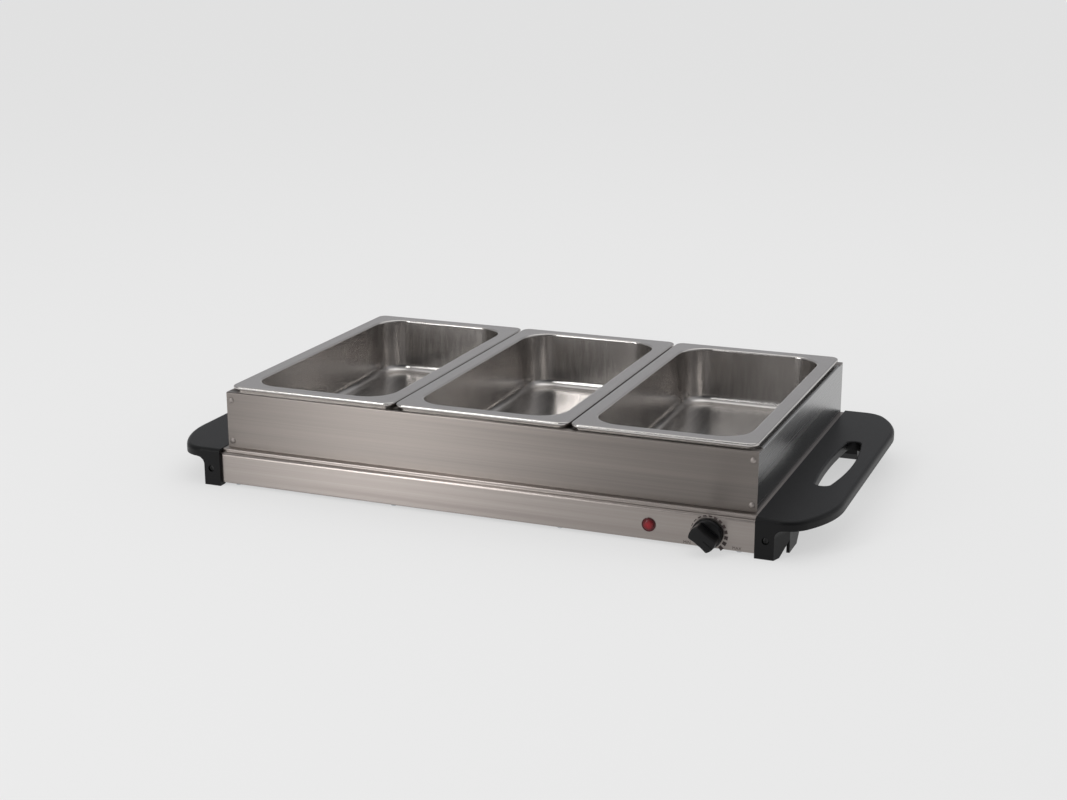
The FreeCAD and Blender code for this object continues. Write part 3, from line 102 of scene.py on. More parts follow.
def turnedShape(name, profile, steps):
    # profile: (radius, height) from the axis round to the axis, spun about Z
    mesh = bpy.data.meshes.new(name)
    corners = [(radius, 0, height) for radius, height in profile]
    mesh.from_pydata(corners, [(i, i + 1) for i in range(len(corners) - 1)], [])
    piece = bpy.data.objects.new(name, mesh)
    bpy.context.collection.objects.link(piece)
    pick(piece)
    bpy.ops.object.mode_set(mode="EDIT")
    bpy.ops.mesh.select_all(action="SELECT")
    bpy.ops.mesh.spin(steps=steps, angle=2 * math.pi, center=(0, 0, 0), axis=(0, 0, 1))
    bpy.ops.mesh.select_all(action="SELECT")
    bpy.ops.mesh.remove_doubles(threshold=0.000005)
    bpy.ops.mesh.normals_make_consistent(inside=False)
    leaveEdit()
    return piece


def copied(source, name, place):
    piece = source.copy()
    piece.data = source.data.copy()
    piece.name = name
    bpy.context.collection.objects.link(piece)
    piece.data.transform(place)
    return piece


def joined(name, pieces):
    pick(*pieces)
    bpy.ops.object.join()
    pieces[0].name = name
    return pieces[0]


def finishPiece(piece, body, slot, finish, *stoodFor):
    piece.data.materials.clear()
    piece.data.materials.append(finish)
    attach(piece, body)
    if stoodFor:
        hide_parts(*stoodFor)
    return piece


facingFront = Matrix.Rotation(math.radians(90), 4, "X")  # +Z becomes -Y
facingBack = Matrix.Rotation(math.radians(-90), 4, "X")  # +Z becomes +Y


# Materials


def addNode(tree, kind, settings=None, links=None):
    node = tree.nodes.new(kind)
    for name, value in (settings or {}).items():
        if isinstance(name, int) or name in node.inputs:
            node.inputs[name].default_value = value
        else:
            setattr(node, name, value)
    for name, source in (links or {}).items():
        tree.links.new(source, node.inputs[name])
    return node


def startFinish(name, sockets):
    finish = bpy.data.materials.new(name)
    finish.use_nodes = True
    tree = finish.node_tree
    shader = tree.nodes["Principled BSDF"]
    for socket, value in sockets.items():
        shader.inputs[socket].default_value = value
    place = addNode(tree, "ShaderNodeTexCoord").outputs["Object"]
    return finish, tree, shader, place


def stretchedNoise(tree, place, scale, detail=2.0, roughness=0.5):
    # scale: features per metre along X, Y and Z
    room = addNode(tree, "ShaderNodeMapping", {"Scale": scale}, {"Vector": place})
    noise = {"Scale": 1.0, "Detail": detail, "Roughness": roughness}
    return addNode(tree, "ShaderNodeTexNoise", noise, {"Vector": room.outputs[0]}).outputs["Fac"]


def spread(tree, source, low, high, start=0.3, end=0.7):
    # a noise between start and end becomes a value between low and high
    span = {"From Min": start, "From Max": end, "To Min": low, "To Max": high}
    return addNode(tree, "ShaderNodeMapRange", span, {"Value": source}).outputs["Result"]


def between(tree, amount, first, second):
    mix = addNode(tree, "ShaderNodeMix", {"data_type": "RGBA"}, {0: amount})
    mix.inputs[6].default_value = linear(first)
    mix.inputs[7].default_value = linear(second)
    return mix.outputs[2]


def addBump(tree, shader, height, strength, depth):
    settings = {"Strength": strength, "Distance": depth}
    bump = addNode(tree, "ShaderNodeBump", settings, {"Height": height})
    tree.links.new(bump.outputs["Normal"], shader.inputs["Normal"])


brushedSheet = {
    "trayColours": ("#98908C", "#A49D98"),
    "frameColours": ("#827C78", "#8F8883"),
    "endColours": ("#8D8D8D", "#989898"),
    "lineLength": 0.3,  # metres
    "lineWidth": 0.0011,  # real lines are 0.1 mm, too fine for the picture
    "lineShare": 0.45,
    "streakShare": 0.55,
    "streakLength": 2,  # a streak's length and width, in lines
    "streakWidth": 7,
    "trayRoughness": (0.28, 0.36),
    "frameRoughness": (0.36, 0.44),
    "endRoughness": (0.22, 0.3),
    "traySmear": 0.88,
    "frameSmear": 0.95,
    "endSmear": 0.4,
}


def makeBrushedSheet(name, part):
    # type 304 stainless sheet, belt brushed: long fine lines that smear what the sheet reflects
    # into bands across the grain
    smear = brushedSheet[part + "Smear"]
    sockets = {"Metallic": 1.0, "Anisotropic": smear, "Anisotropic Rotation": 0.25}
    finish, tree, shader, place = startFinish(name, sockets)
    slow = 1 / brushedSheet["lineLength"]
    fine = 1 / brushedSheet["lineWidth"]
    lines = stretchedNoise(tree, place, (slow, slow, fine), 3.0, 0.6)
    long = slow / brushedSheet["streakLength"]
    streaks = stretchedNoise(tree, place, (long, long, fine / brushedSheet["streakWidth"]))
    weighted = {"operation": "MULTIPLY_ADD", 1: brushedSheet["streakShare"]}
    both = addNode(tree, "ShaderNodeMath", weighted, {0: streaks})
    weighted = {"operation": "MULTIPLY", 1: brushedSheet["lineShare"]}
    rest = addNode(tree, "ShaderNodeMath", weighted, {0: lines})
    tree.links.new(rest.outputs[0], both.inputs[2])
    grain = both.outputs[0]
    tint = between(tree, spread(tree, grain, 0, 1, 0.35, 0.65), *brushedSheet[part + "Colours"])
    tree.links.new(tint, shader.inputs["Base Color"])
    roughness = spread(tree, grain, *brushedSheet[part + "Roughness"])
    tree.links.new(roughness, shader.inputs["Roughness"])
    return finish


def makePressedPan():
    # deep-drawn stainless pan, satin: neutral and even, with faint wiping marks
    finish, tree, shader, place = startFinish("satinPressedStainless", {"Metallic": 1.0})
    clouds = stretchedNoise(tree, place, (18, 18, 18), 3.0)
    marks = stretchedNoise(tree, place, (260, 40, 40), 2.0)
    tree.links.new(between(tree, clouds, "#BDB9B6", "#C8C5C2"), shader.inputs["Base Color"])
    tree.links.new(spread(tree, marks, 0.2, 0.27), shader.inputs["Roughness"])
    return finish


def makeSpeckled(name, colours, sockets, grainSize, bumpDepth, roughness):
    # an even material: its colour drifts slowly, its roughness and height follow a fine grain
    finish, tree, shader, place = startFinish(name, sockets)
    perMetre = 1 / grainSize
    grain = stretchedNoise(tree, place, (perMetre, perMetre, perMetre), 2.0)
    drift = stretchedNoise(tree, place, (14, 14, 14), 2.0)
    tint = between(tree, spread(tree, drift, 0, 1), *colours)
    tree.links.new(tint, shader.inputs["Base Color"])
    tree.links.new(spread(tree, grain, *roughness), shader.inputs["Roughness"])
    addBump(tree, shader, grain, 0.35, bumpDepth)
    return finish


trayFinish = makeBrushedSheet("brushedStainlessTray", "tray")
frameFinish = makeBrushedSheet("brushedStainlessFrame", "frame")
endFinish = makeBrushedSheet("brushedStainlessEnds", "end")
panFinish = makePressedPan()

# glass-filled nylon, moulded in a fine spark-eroded grain: a soft charcoal sheen, no gloss
handleFinish = makeSpeckled(
    "grainedBlackNylon",
    ("#09090A", "#0E0E0F"),
    {"Specular IOR Level": 0.2, "IOR": 1.5},
    0.0007,
    0.00005,
    (0.36, 0.48),
)
# phenolic moulding, polished by fingers: blacker and smoother than the handles
knobFinish = makeSpeckled(
    "satinBlackPhenolic",
    ("#050506", "#0A0A0B"),
    {"Specular IOR Level": 0.26, "IOR": 1.5},
    0.0006,
    0.00003,
    (0.32, 0.42),
)
# stainless rivet, tumbled to a soft grey
rivetFinish = makeSpeckled(
    "tumbledStainlessRivet",
    ("#98918D", "#A59E9A"),
    {"Metallic": 1.0},
    0.0012,
    0.00002,
    (0.46, 0.56),
)
# hot-dipped zinc sheet: dull grey with drifting spangle
zincSheetFinish = makeSpeckled(
    "zincCoatedSheet", ("#8F9294", "#A9ACAE"), {"Metallic": 1.0}, 0.006, 0.00002, (0.38, 0.52)
)
# zinc-plated steel screw: bright with a bluish cast
zincScrewFinish = makeSpeckled(
    "zincPlatedScrew", ("#A9ACB0", "#BFC2C5"), {"Metallic": 1.0}, 0.0009, 0.00002, (0.24, 0.36)
)
# phosphate-coated steel screw: dull black, a little greyer where a driver has rubbed it; the black
# is partly painted shade, standing in for the shade of the deep recess round the head
blackScrewAndShadeFinish = makeSpeckled(
    "blackScrewWithPaintedShade", ("#151515", "#262626"), {"Metallic": 0.4}, 0.0009, 0.00002, (0.38, 0.5)
)
# turned brass, plain
brassFinish = makeSpeckled(
    "turnedBrass", ("#B8934E", "#C9A662"), {"Metallic": 1.0}, 0.0009, 0.00002, (0.25, 0.35)
)
# sheathed element, browned by heat
elementFinish = makeSpeckled(
    "oxidisedElementTube", ("#4C4643", "#6B625C"), {"Metallic": 1.0}, 0.004, 0.00004, (0.42, 0.6)
)
# steatite beads and blocks: cream, matt and slightly gritty
ceramicFinish = makeSpeckled(
    "steatite", ("#D9D3C4", "#E4DFD2"), {"IOR": 1.6}, 0.0008, 0.00004, (0.55, 0.7)
)
# moulded rubber bush: black, dry and dull
rubberFinish = makeSpeckled(
    "mouldedRubber",
    ("#151515", "#1C1C1C"),
    {"IOR": 1.52, "Specular IOR Level": 0.3},
    0.0008,
    0.00006,
    (0.6, 0.75),
)


def makeSleeve():
    # braided glass-fibre sleeve: pale, with the braid's crossing threads every 2.4 mm
    sockets = {"Roughness": 0.7, "Sheen Weight": 0.2}
    finish, tree, shader, place = startFinish("glassFibreSleeve", sockets)
    threads = []
    for slant in (1, -1):
        turn = {"Rotation": (0, 0, slant * math.radians(45))}
        turned = addNode(tree, "ShaderNodeMapping", turn, {"Vector": place})
        wave = {"Scale": 130.0, "Distortion": 0.3}
        thread = addNode(tree, "ShaderNodeTexWave", wave, {"Vector": turned.outputs[0]})
        threads.append(thread.outputs["Fac"])
    crossed = {0: threads[0], 1: threads[1]}
    braid = addNode(tree, "ShaderNodeMath", {"operation": "MAXIMUM"}, crossed).outputs[0]
    tree.links.new(between(tree, braid, "#B9B29C", "#D8D3C2"), shader.inputs["Base Color"])
    addBump(tree, shader, braid, 0.4, 0.0002)
    return finish


def makeLensRed():
    # red polycarbonate, drawn opaque, with moulded prisms at its middle: painted light, the colour
    # deep at the rim and brighter towards the middle as a painted glow through the dome
    sockets = {
        "Roughness": 0.3,
        "IOR": 1.5,
        "Specular IOR Level": 0.3,
        "Coat Weight": 0.1,
        "Coat Roughness": 0.12,
    }
    finish, tree, shader, place = startFinish("redPolycarbonate", sockets)
    centre = (lampPlace["across"], frontFace, lampPlace["height"])
    offset = addNode(tree, "ShaderNodeVectorMath", {"operation": "DISTANCE", 1: centre}, {0: place})
    # painted light: the colour darkens from the middle out to the rim, a painted glow at the lens's
    # middle; the prism cells add a fine pattern
    rim = spread(tree, offset.outputs["Value"], 0, 1, 0.0028, 0.0066)
    prisms = addNode(tree, "ShaderNodeTexVoronoi", {"Scale": 720.0}, {"Vector": place})
    cells = prisms.outputs["Distance"]
    weighted = {"operation": "MULTIPLY_ADD", 1: 0.35}
    glow = addNode(tree, "ShaderNodeMath", weighted, {0: cells, 2: rim})
    tint = between(tree, glow.outputs[0], "#8A1520", "#3A060B")
    tree.links.new(tint, shader.inputs["Base Color"])
    addBump(tree, shader, cells, 0.5, 0.0004)
    return finish


def makeDialInk():
    # screen-printed ink, dark brown on the steel
    finish, tree, shader, place = startFinish("screenInk", {"Roughness": 0.5})
    wear = stretchedNoise(tree, place, (900, 900, 900))
    tree.links.new(between(tree, wear, "#241A19", "#3A2C2A"), shader.inputs["Base Color"])
    return finish


lampPlace = {
    "across": 0.1766,
    "height": 0.0178,
    "radius": 0.0067,
    "rise": 0.0026,
    "plug": (0.0052, 0.0016),  # radius and depth behind the tray's face
    "seam": 0.0009,  # where the dome meets its ring
}
sleeveFinish = makeSleeve()
lensFinish = makeLensRed()
inkFinish = makeDialInk()

finishOf = {
    "tray_shell": trayFinish,
    "bottom_cover": zincSheetFinish,
    "corner_brackets": zincSheetFinish,
    "clamp_screws": zincScrewFinish,
    "left_handle": handleFinish,
    "right_handle": handleFinish,
    "heating_element": elementFinish,
    "element_terminals": ceramicFinish,
    "element_clips": zincSheetFinish,
    "heat_shield": zincSheetFinish,
    "thermal_cutout": ceramicFinish,
    "cutout_strap": zincSheetFinish,
    "thermostat": ceramicFinish,
    "thermostat_screws": zincScrewFinish,
    "thermostat_shaft": zincScrewFinish,
    "lamp_holder": handleFinish,
    "lamp_clip": zincSheetFinish,
    "terminal_block": ceramicFinish,
    "terminal_screws": brassFinish,
    "earth_nut": brassFinish,
    "internal_wires": sleeveFinish,
    "front_panel": frameFinish,
    "rear_panel": frameFinish,
    "left_panel": endFinish,
    "right_panel": endFinish,
    "left_cross_bar": frameFinish,
    "right_cross_bar": frameFinish,
    "left_pan": panFinish,
    "centre_pan": panFinish,
    "right_pan": panFinish,
}
for nodeName, finish in finishOf.items():
    slots = nodes[nodeName].data.materials
    slots.clear()
    slots.append(finish)
print("finishes on", len(finishOf), "nodes")


# Knob

knob = {
    "place": Vector((0.233, frontFace - 0.002, 0.017)),
    "skirtRadius": 0.0145,
    "skirtDepth": 0.0045,
    "length": 0.018,
    "gripRadius": 0.013,
    "gripEnd": 0.0078,  # half the grip's width at its ends
    "hollowRadius": 0.06,  # of the shallow hollows along its sides
    "corner": 0.002,
    "edge": 0.0012,
    "turn": 36,  # degrees, the grip's slope seen from the front
    "groove": (0.0007, 0.0005),  # width and depth of the pointer line
    "grooveMiddle": 0.007,
    "grooveLength": 0.0105,
}


def arcPoints(centre, radius, start, end, steps):
    x, y = centre
    turns = [start + (end - start) * step / steps for step in range(steps + 1)]
    return [(x + radius * math.cos(turn), y + radius * math.sin(turn)) for turn in turns]


def makeGrip():
    # a quarter of the outline is the round end, the corner and half a hollow side, and the rest
    # mirrors it
    radius, corner, hollow = knob["gripRadius"], knob["corner"], knob["hollowRadius"]
    halfLength = math.sqrt(radius**2 - knob["gripEnd"] ** 2)
    hollowY = knob["gripEnd"] + math.sqrt(hollow**2 - halfLength**2)
    cornerY = (hollowY**2 + (radius - corner) ** 2 - (hollow + corner) ** 2) / (2 * hollowY)
    cornerX = math.sqrt((radius - corner) ** 2 - cornerY**2)
    first = math.atan2(cornerY, cornerX)
    last = math.atan2(hollowY - cornerY, -cornerX)
    quarter = arcPoints((0, 0), radius, 0, first, 12)
    quarter += arcPoints((cornerX, cornerY), corner, first, last, 8)[1:]
    quarter += arcPoints((0, hollowY), hollow, last - math.pi, -math.pi / 2, 8)[1:]
    half = quarter + [(-x, y) for x, y in reversed(quarter[:-1])]
    ring = half + [(x, -y) for x, y in reversed(half[1:-1])]
    start = knob["skirtDepth"] - 0.0005
    mesh = bpy.data.meshes.new("knobGrip")
    mesh.from_pydata([(x, y, start) for x, y in ring], [], [tuple(range(len(ring)))])
    grip = bpy.data.objects.new("knobGrip", mesh)
    bpy.context.collection.objects.link(grip)
    editFaces(grip)
    rise = {"value": (0, 0, knob["length"] - start)}
    bpy.ops.mesh.extrude_region_move(TRANSFORM_OT_translate=rise)
    bpy.ops.mesh.select_all(action="SELECT")
    bpy.ops.mesh.normals_make_consistent(inside=False)
    leaveEdit()
    return grip


def makeKnob():
    radius, top = knob["skirtRadius"], knob["skirtDepth"]
    skirtProfile = [
        (0, 0),
        (radius - 0.0003, 0),
        (radius, 0.0004),
        (radius, 0.0021),
        (radius - 0.0004, 0.0028),
        (radius - 0.0011, top - 0.0003),
        (radius - 0.0016, top),
        (0, top),
    ]
    skirt = turnedShape("knobSkirt", skirtProfile, 96)
    grip = makeGrip()
    rim = grip.modifiers.new("edges", "BEVEL")
    rim.width = knob["edge"]
    rim.segments = 4
    rim.angle_limit = math.radians(60)
    applyAll(grip)
    width, depth = knob["groove"]
    leaveEdit()
    bpy.ops.mesh.primitive_cube_add(size=1, location=(knob["grooveMiddle"], 0, knob["length"]))
    groove = bpy.context.object
    groove.scale = (knob["grooveLength"], width, 2 * depth)
    bpy.ops.object.transform_apply(location=True, scale=True)
    carve(grip, groove)
    whole = joined("dialKnob", [skirt, grip])
    whole.data.transform(Matrix.Rotation(math.radians(-knob["turn"]), 4, "Z"))
    whole.data.transform(Matrix.Translation(knob["place"]) @ facingFront)
    smooth(whole, 32)
    return finishPiece(whole, "knob", "knob_plastic", knobFinish, "control_knob")


makeKnob()
print("knob made")


# Lamp lens


def makeLens():
    radius, rise, seam = lampPlace["radius"], lampPlace["rise"], lampPlace["seam"]
    plug, depth = lampPlace["plug"]
    profile = [(0, -depth), (plug, -depth), (plug, 0), (radius, 0), (radius, 0.0007)]
    profile += [(radius - 0.0003, 0.001), (radius - 0.0009, 0.0011), (radius - 0.0013, seam)]
    steps = 8
    for step in range(steps + 1):
        turn = math.radians(90) * step / steps
        dome = (radius - 0.0014) * math.cos(turn)
        profile.append((dome, seam + (rise - seam) * math.sin(turn)))
    profile[-1] = (0, rise)
    lens = turnedShape("lampLens", profile, 64)
    centre = (lampPlace["across"], frontFace, lampPlace["height"])
    lens.data.transform(Matrix.Translation(centre) @ facingFront)
    smooth(lens, 40)
    return finishPiece(lens, "base", "red_lens", lensFinish, "lamp_lens")


makeLens()
print("lamp lens made")


# Screws and rivets

screw = {
    "head": 0.003,
    "height": 0.0014,
    "shank": 0.0015,
    "recess": (0.0032, 0.0007, 0.0009),  # reach, width and depth of the cross
    "legLength": 0.009,
}


def makeCrossScrew(length):
    # a pan head with a cross recess, its seat at z 0 and its head upwards
    shank, head, height = screw["shank"], screw["head"], screw["height"]
    profile = [(0, -length), (shank, -length), (shank, 0), (head, 0)]
    profile += [(head, height * 0.45), (head * 0.9, height * 0.75)]
    profile += [(head * 0.6, height * 0.95), (0, height)]
    piece = turnedShape("crossScrew", profile, 32)
    reach, width, depth = screw["recess"]
    for turn in (0, 90):
        leaveEdit()
        bpy.ops.mesh.primitive_cube_add(size=1, location=(0, 0, screw["height"]))
        arm = bpy.context.object
        arm.scale = (reach, width, 2 * depth)
        arm.rotation_euler = (0, 0, math.radians(turn))
        bpy.ops.object.transform_apply(location=True, rotation=True, scale=True)
        carve(piece, arm)
    return piece


def makeScrewSet(name, length, places, node, slot, finish):
    pattern = makeCrossScrew(length)
    screws = []
    for number, place in enumerate(places):
        # no two stop at the same turn
        spun = Matrix.Rotation(math.radians(25 + 37 * number), 4, "Z")
        screws.append(copied(pattern, f"{name}{number}", place @ spun))
    bpy.data.objects.remove(pattern)
    whole = joined(name, screws)
    smooth(whole, 35)
    return finishPiece(whole, "base", slot, finish, node)


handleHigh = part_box("handle_screws")[1]
legX = handleHigh.x - screw["head"]
legY = handleHigh.y - screw["height"]
legZ = handleHigh.z - screw["head"]
legScrews = []
for side in (-1, 1):
    legScrews.append(Matrix.Translation((side * legX, -legY, legZ)) @ facingFront)
    legScrews.append(Matrix.Translation((side * legX, legY, legZ)) @ facingBack)
legLength = screw["legLength"]
# the leg screws take the dark finish, partly painted shade for the deep recesses they sit in
makeScrewSet("legScrews", legLength, legScrews, "handle_screws", "black_screw", blackScrewAndShadeFinish)

coverLow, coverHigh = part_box("cover_screws")
upsideDown = Matrix.Rotation(math.radians(180), 4, "X")
coverX = coverHigh.x - screw["head"]
coverY = coverHigh.y - screw["head"]
coverScrews = []
for across in (-coverX, -coverX / 3, coverX / 3, coverX):
    for along in (-coverY, coverY):
        place = (across, along, coverLow.z + screw["height"])
        coverScrews.append(Matrix.Translation(place) @ upsideDown)
coverLength = coverHigh.z - coverLow.z - screw["height"]
makeScrewSet("coverScrews", coverLength, coverScrews, "cover_screws", "zinc_screw", zincScrewFinish)
print("screws made")

rivet = {"head": 0.003, "dome": 0.0013, "shank": (0.0015, 0.0042)}  # shank: radius and length


def makeRivets():
    low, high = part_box("frame_rivets")
    shank, length = rivet["shank"]
    profile = [(0, -length), (shank, -length), (shank, 0), (rivet["head"], 0)]
    steps = 7
    for step in range(1, steps + 1):
        turn = math.radians(90) * step / steps
        profile.append((rivet["head"] * math.cos(turn), rivet["dome"] * math.sin(turn)))
    profile[-1] = (0, rivet["dome"])
    pattern = turnedShape("rivetPattern", profile, 32)
    faceY = high.y - rivet["dome"]
    acrossX = high.x - rivet["head"]
    rivets = []
    for side in (-1, 1):
        for height in (low.z + rivet["head"], high.z - rivet["head"]):
            for facing, along in ((facingFront, -faceY), (facingBack, faceY)):
                place = Matrix.Translation((side * acrossX, along, height)) @ facing
                rivets.append(copied(pattern, f"frameRivet{len(rivets)}", place))
    bpy.data.objects.remove(pattern)
    whole = joined("frameRivets", rivets)
    smooth(whole, 40)
    return finishPiece(whole, "pan_frame", "rivet_steel", rivetFinish, "frame_rivets")


makeRivets()
print("rivets made")


# Cord bush and earth stud at the back

bush = {
    "across": 0.2,
    "height": 0.017,
    "bore": 0.0036,
    "neck": (0.006, 0.007),  # radius and depth inside the tray
    "flange": 0.009,
    "thick": 0.003,  # of the flange
    "nose": 0.0074,
    "ribs": 4,
    "ribStart": 0.0038,
    "ribDepth": 0.0009,
}


def makeBush():
    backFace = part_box("tray_shell")[1].y
    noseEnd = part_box("cord_gland")[1].y - backFace
    bore, flange, thick, nose = bush["bore"], bush["flange"], bush["thick"], bush["nose"]
    neck, depth = bush["neck"]
    start = bush["ribStart"]
    profile = [(bore, -depth), (neck, -depth), (neck, 0), (flange, 0), (flange, 0.0019)]
    profile += [(flange - 0.0003, 0.0026), (flange - 0.001, thick), (nose, thick)]
    pitch = (noseEnd - 0.0012 - start) / bush["ribs"]
    for rib in range(bush["ribs"]):
        base = start + rib * pitch
        outer = nose - 0.001 * (base - thick) / (noseEnd - thick)
        inner = outer - bush["ribDepth"]
        profile += [(outer, base), (outer, base + pitch * 0.5)]
        profile += [(inner, base + pitch * 0.58), (inner, base + pitch * 0.92)]
    profile += [(nose - 0.0012, noseEnd - 0.0011), (nose - 0.0013, noseEnd - 0.0003)]
    profile += [(nose - 0.0017, noseEnd), (bore + 0.0004, noseEnd)]
    profile += [(bore, noseEnd - 0.0004), (bore, -depth)]
    piece = turnedShape("cordBush", profile, 48)
    centre = (bush["across"], backFace, bush["height"])
    piece.data.transform(Matrix.Translation(centre) @ facingBack)
    smooth(piece, 35)
    return finishPiece(piece, "base", "gland_rubber", rubberFinish, "cord_gland")


def makeEarthStud():
    low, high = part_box("earth_stud")
    centre = (low + high) / 2
    length = high.y - low.y - screw["height"]
    pattern = makeCrossScrew(length)
    place = Matrix.Translation((centre.x, high.y - screw["height"], centre.z)) @ facingBack
    pattern.data.transform(place)
    pattern.name = "earthScrew"
    smooth(pattern, 35)
    return finishPiece(pattern, "base", "zinc_screw", zincScrewFinish, "earth_stud")


makeBush()
makeEarthStud()
print("cord bush and earth screw made")


# Print round the dial

dial = {
    "inner": 0.0158,
    "dashes": 15,
    "from": -52,  # degrees from the bottom of the dial, clockwise round the top
    "sweep": 276,
    "thin": 0.0004,
    "thick": 0.0042,
    "fill": 0.62,  # share of each step that is printed
    "ink": 0.00006,
    "wordSize": 0.0040,
    "words": (("MIN", "wordMin", 0.2135, 0.0042), ("MAX", "wordMax", 0.2605, 0.0046)),
}


def makeDialPrint():
    centre = Matrix.Translation((knob["place"].x, frontFace, knob["place"].z)) @ facingFront
    dashes = []
    step = dial["sweep"] / dial["dashes"]
    for number in range(dial["dashes"]):
        share = number / (dial["dashes"] - 1)
        start = math.radians(-90 + dial["from"] - number * step)
        end = start - math.radians(step * dial["fill"])
        inner = dial["inner"]
        outer = inner + dial["thin"] + (dial["thick"] - dial["thin"]) * share**1.6
        leaveEdit()
        bpy.ops.mesh.primitive_plane_add(size=1)
        dash = bpy.context.object
        ring = [(inner, start), (outer, start), (inner, end), (outer, end)]
        corners = sorted(dash.data.vertices, key=lambda v: (v.co.y, v.co.x))
        for vertex, (radius, turn) in zip(corners, ring):
            vertex.co = (radius * math.cos(turn), radius * math.sin(turn), dial["ink"])
        dashes.append(dash)
    whole = joined("dialPrint", dashes)
    editFaces(whole)
    bpy.ops.mesh.normals_make_consistent(inside=False)
    leaveEdit()
    thickness = whole.modifiers.new("ink", "SOLIDIFY")
    thickness.thickness = dial["ink"]
    applyAll(whole)
    whole.data.transform(centre)
    return finishPiece(whole, "base", "brushed_tray_steel", inkFinish)


def makeWord(text, name, across, height):
    leaveEdit()
    bpy.ops.object.text_add()
    word = bpy.context.object
    word.data.body = text
    word.data.size = dial["wordSize"]
    word.data.align_x = "CENTER"
    word.data.extrude = dial["ink"] / 2
    bpy.ops.object.convert(target="MESH")
    word = bpy.context.object
    word.name = name
    middle = (across, frontFace - dial["ink"] / 2, height)
    word.data.transform(Matrix.Translation(middle) @ facingFront)
    return finishPiece(word, "base", "brushed_tray_steel", inkFinish)


makeDialPrint()
for word in dial["words"]:
    makeWord(*word)
print("dial print made")


# Camera, floor and light

cameraView = {
    "azimuth": 21.8865,  # degrees, from the front towards the right-hand end
    "elevation": 15.7553,
    "roll": -0.1063,
    "distance": 1.8508,
    "target": (-0.0092, 0.0, 0.0714),
    "lens": 59.97,
    "shift": (-0.00194, -0.00217),
}


def makeCamera():
    lens = bpy.data.cameras.new("photoCamera")
    lens.lens = cameraView["lens"]
    lens.sensor_width = 36
    lens.shift_x, lens.shift_y = cameraView["shift"]
    camera = bpy.data.objects.new("photoCamera", lens)
    bpy.context.collection.objects.link(camera)
    azimuth = math.radians(cameraView["azimuth"])
    elevation = math.radians(cameraView["elevation"])
    level = math.cos(elevation)
    away = Vector((math.sin(azimuth) * level, -math.cos(azimuth) * level, math.sin(elevation)))
    turn = (-away).to_track_quat("-Z", "Y").to_matrix().to_4x4()
    turn = turn @ Matrix.Rotation(math.radians(cameraView["roll"]), 4, "Z")
    eye = Vector(cameraView["target"]) + away * cameraView["distance"]
    camera.matrix_world = Matrix.Translation(eye) @ turn
    bpy.context.scene.camera = camera


light = {
    "background": "#E5E5E5",
    "key": (23, (-1.12, -2.2, 1.1), (0.4, 2.4)),  # watts, place, width and height
    "top": (8, (0.2, 0.6, 2.2), (2.4, 2.0)),
    "edge": (2, (2.2, 1.0, 1.0), (1.0, 1.0)),
    "aim": (0, 0, 0.05),
    "floor": "#F0F0F0",
    "floorGlow": 0.7,  # share of the floor that shows the plain background
    "ceiling": "#F2F2F2",
    "room": ((0.12, "#C4C4C6"), (0.3, "#A6A7AA"), (0.7, "#B4B5B8")),  # height and shade
    "dimming": {"From Min": -0.2, "From Max": -0.85, "To Min": 1.0, "To Max": 0.12},
}


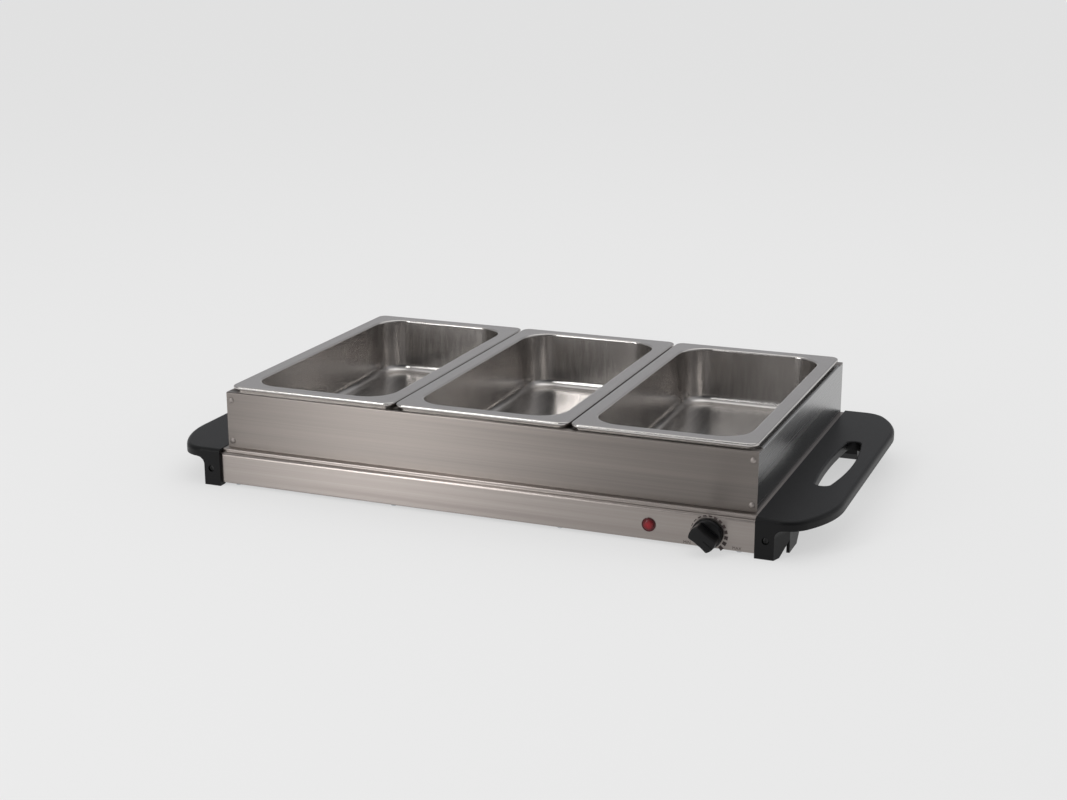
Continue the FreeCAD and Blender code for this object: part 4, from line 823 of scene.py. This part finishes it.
def makeFloor():
    leaveEdit()
    bpy.ops.mesh.primitive_plane_add(size=40, location=(0, 0, 0))
    floor = bpy.context.object
    floor.name = "studioFloor"
    paper = bpy.data.materials.new("seamlessPaper")
    paper.use_nodes = True
    tree = paper.node_tree
    tree.nodes.remove(tree.nodes["Principled BSDF"])
    seen = addNode(tree, "ShaderNodeLightPath")
    rays = {0: seen.outputs["Is Camera Ray"], 1: seen.outputs["Is Glossy Ray"]}
    direct = addNode(tree, "ShaderNodeMath", {"operation": "MAXIMUM"}, rays)
    share = {"operation": "MULTIPLY", 1: light["floorGlow"]}
    amount = addNode(tree, "ShaderNodeMath", share, {0: direct.outputs[0]})
    plain = addNode(tree, "ShaderNodeBsdfDiffuse", {"Color": linear(light["floor"])})
    glow = {"Color": linear(light["background"]), "Strength": 1.0}
    bright = addNode(tree, "ShaderNodeEmission", glow)
    mixed = {0: amount.outputs[0], 1: plain.outputs[0], 2: bright.outputs[0]}
    both = addNode(tree, "ShaderNodeMixShader", links=mixed)
    tree.links.new(both.outputs[0], tree.nodes["Material Output"].inputs["Surface"])
    floor.data.materials.append(paper)


def makeStudio():
    world = bpy.data.worlds.new("studioRoom")
    world.use_nodes = True
    bpy.context.scene.world = world
    tree = world.node_tree
    room = tree.nodes["Background"]
    direction = addNode(tree, "ShaderNodeTexCoord").outputs["Generated"]
    parts = addNode(tree, "ShaderNodeSeparateXYZ", links={0: direction})
    # gloss sees pale paper at the horizon, a dimmer room above it, and the ceiling's light
    climb = addNode(tree, "ShaderNodeValToRGB", links={0: parts.outputs["Z"]})
    steps = climb.color_ramp.elements
    steps[0].position, steps[0].color = 0.0, linear(light["background"])
    steps[1].position, steps[1].color = 1.0, linear(light["ceiling"])
    for position, shade in light["room"]:
        added = steps.new(position)
        added.color = linear(shade)
    # the side behind the camera is the darker half of the room
    behind = addNode(tree, "ShaderNodeMapRange", light["dimming"])
    tree.links.new(parts.outputs["Y"], behind.inputs["Value"])
    scaled = {"operation": "SCALE"}
    dimmed = addNode(tree, "ShaderNodeVectorMath", scaled, {0: climb.outputs["Color"]})
    tree.links.new(behind.outputs["Result"], dimmed.inputs["Scale"])
    gloss = addNode(tree, "ShaderNodeLightPath").outputs["Is Glossy Ray"]
    mix = addNode(tree, "ShaderNodeMix", {"data_type": "RGBA"}, {0: gloss, 7: dimmed.outputs[0]})
    mix.inputs[6].default_value = linear(light["background"])
    tree.links.new(mix.outputs[2], room.inputs["Color"])
    for name in ("key", "top", "edge"):
        watts, place, size = light[name]
        lamp = bpy.data.lights.new(name + "Light", "AREA")
        lamp.energy = watts
        lamp.shape = "RECTANGLE"
        lamp.size, lamp.size_y = size
        holder = bpy.data.objects.new(name + "Light", lamp)
        bpy.context.collection.objects.link(holder)
        holder.location = place
        away = Vector(light["aim"]) - Vector(place)
        holder.rotation_euler = away.to_track_quat("-Z", "Y").to_euler()


leaveEdit()
makeCamera()
makeFloor()
makeStudio()
bpy.context.scene.view_settings.view_transform = "Standard"
print("camera, floor and light ready")
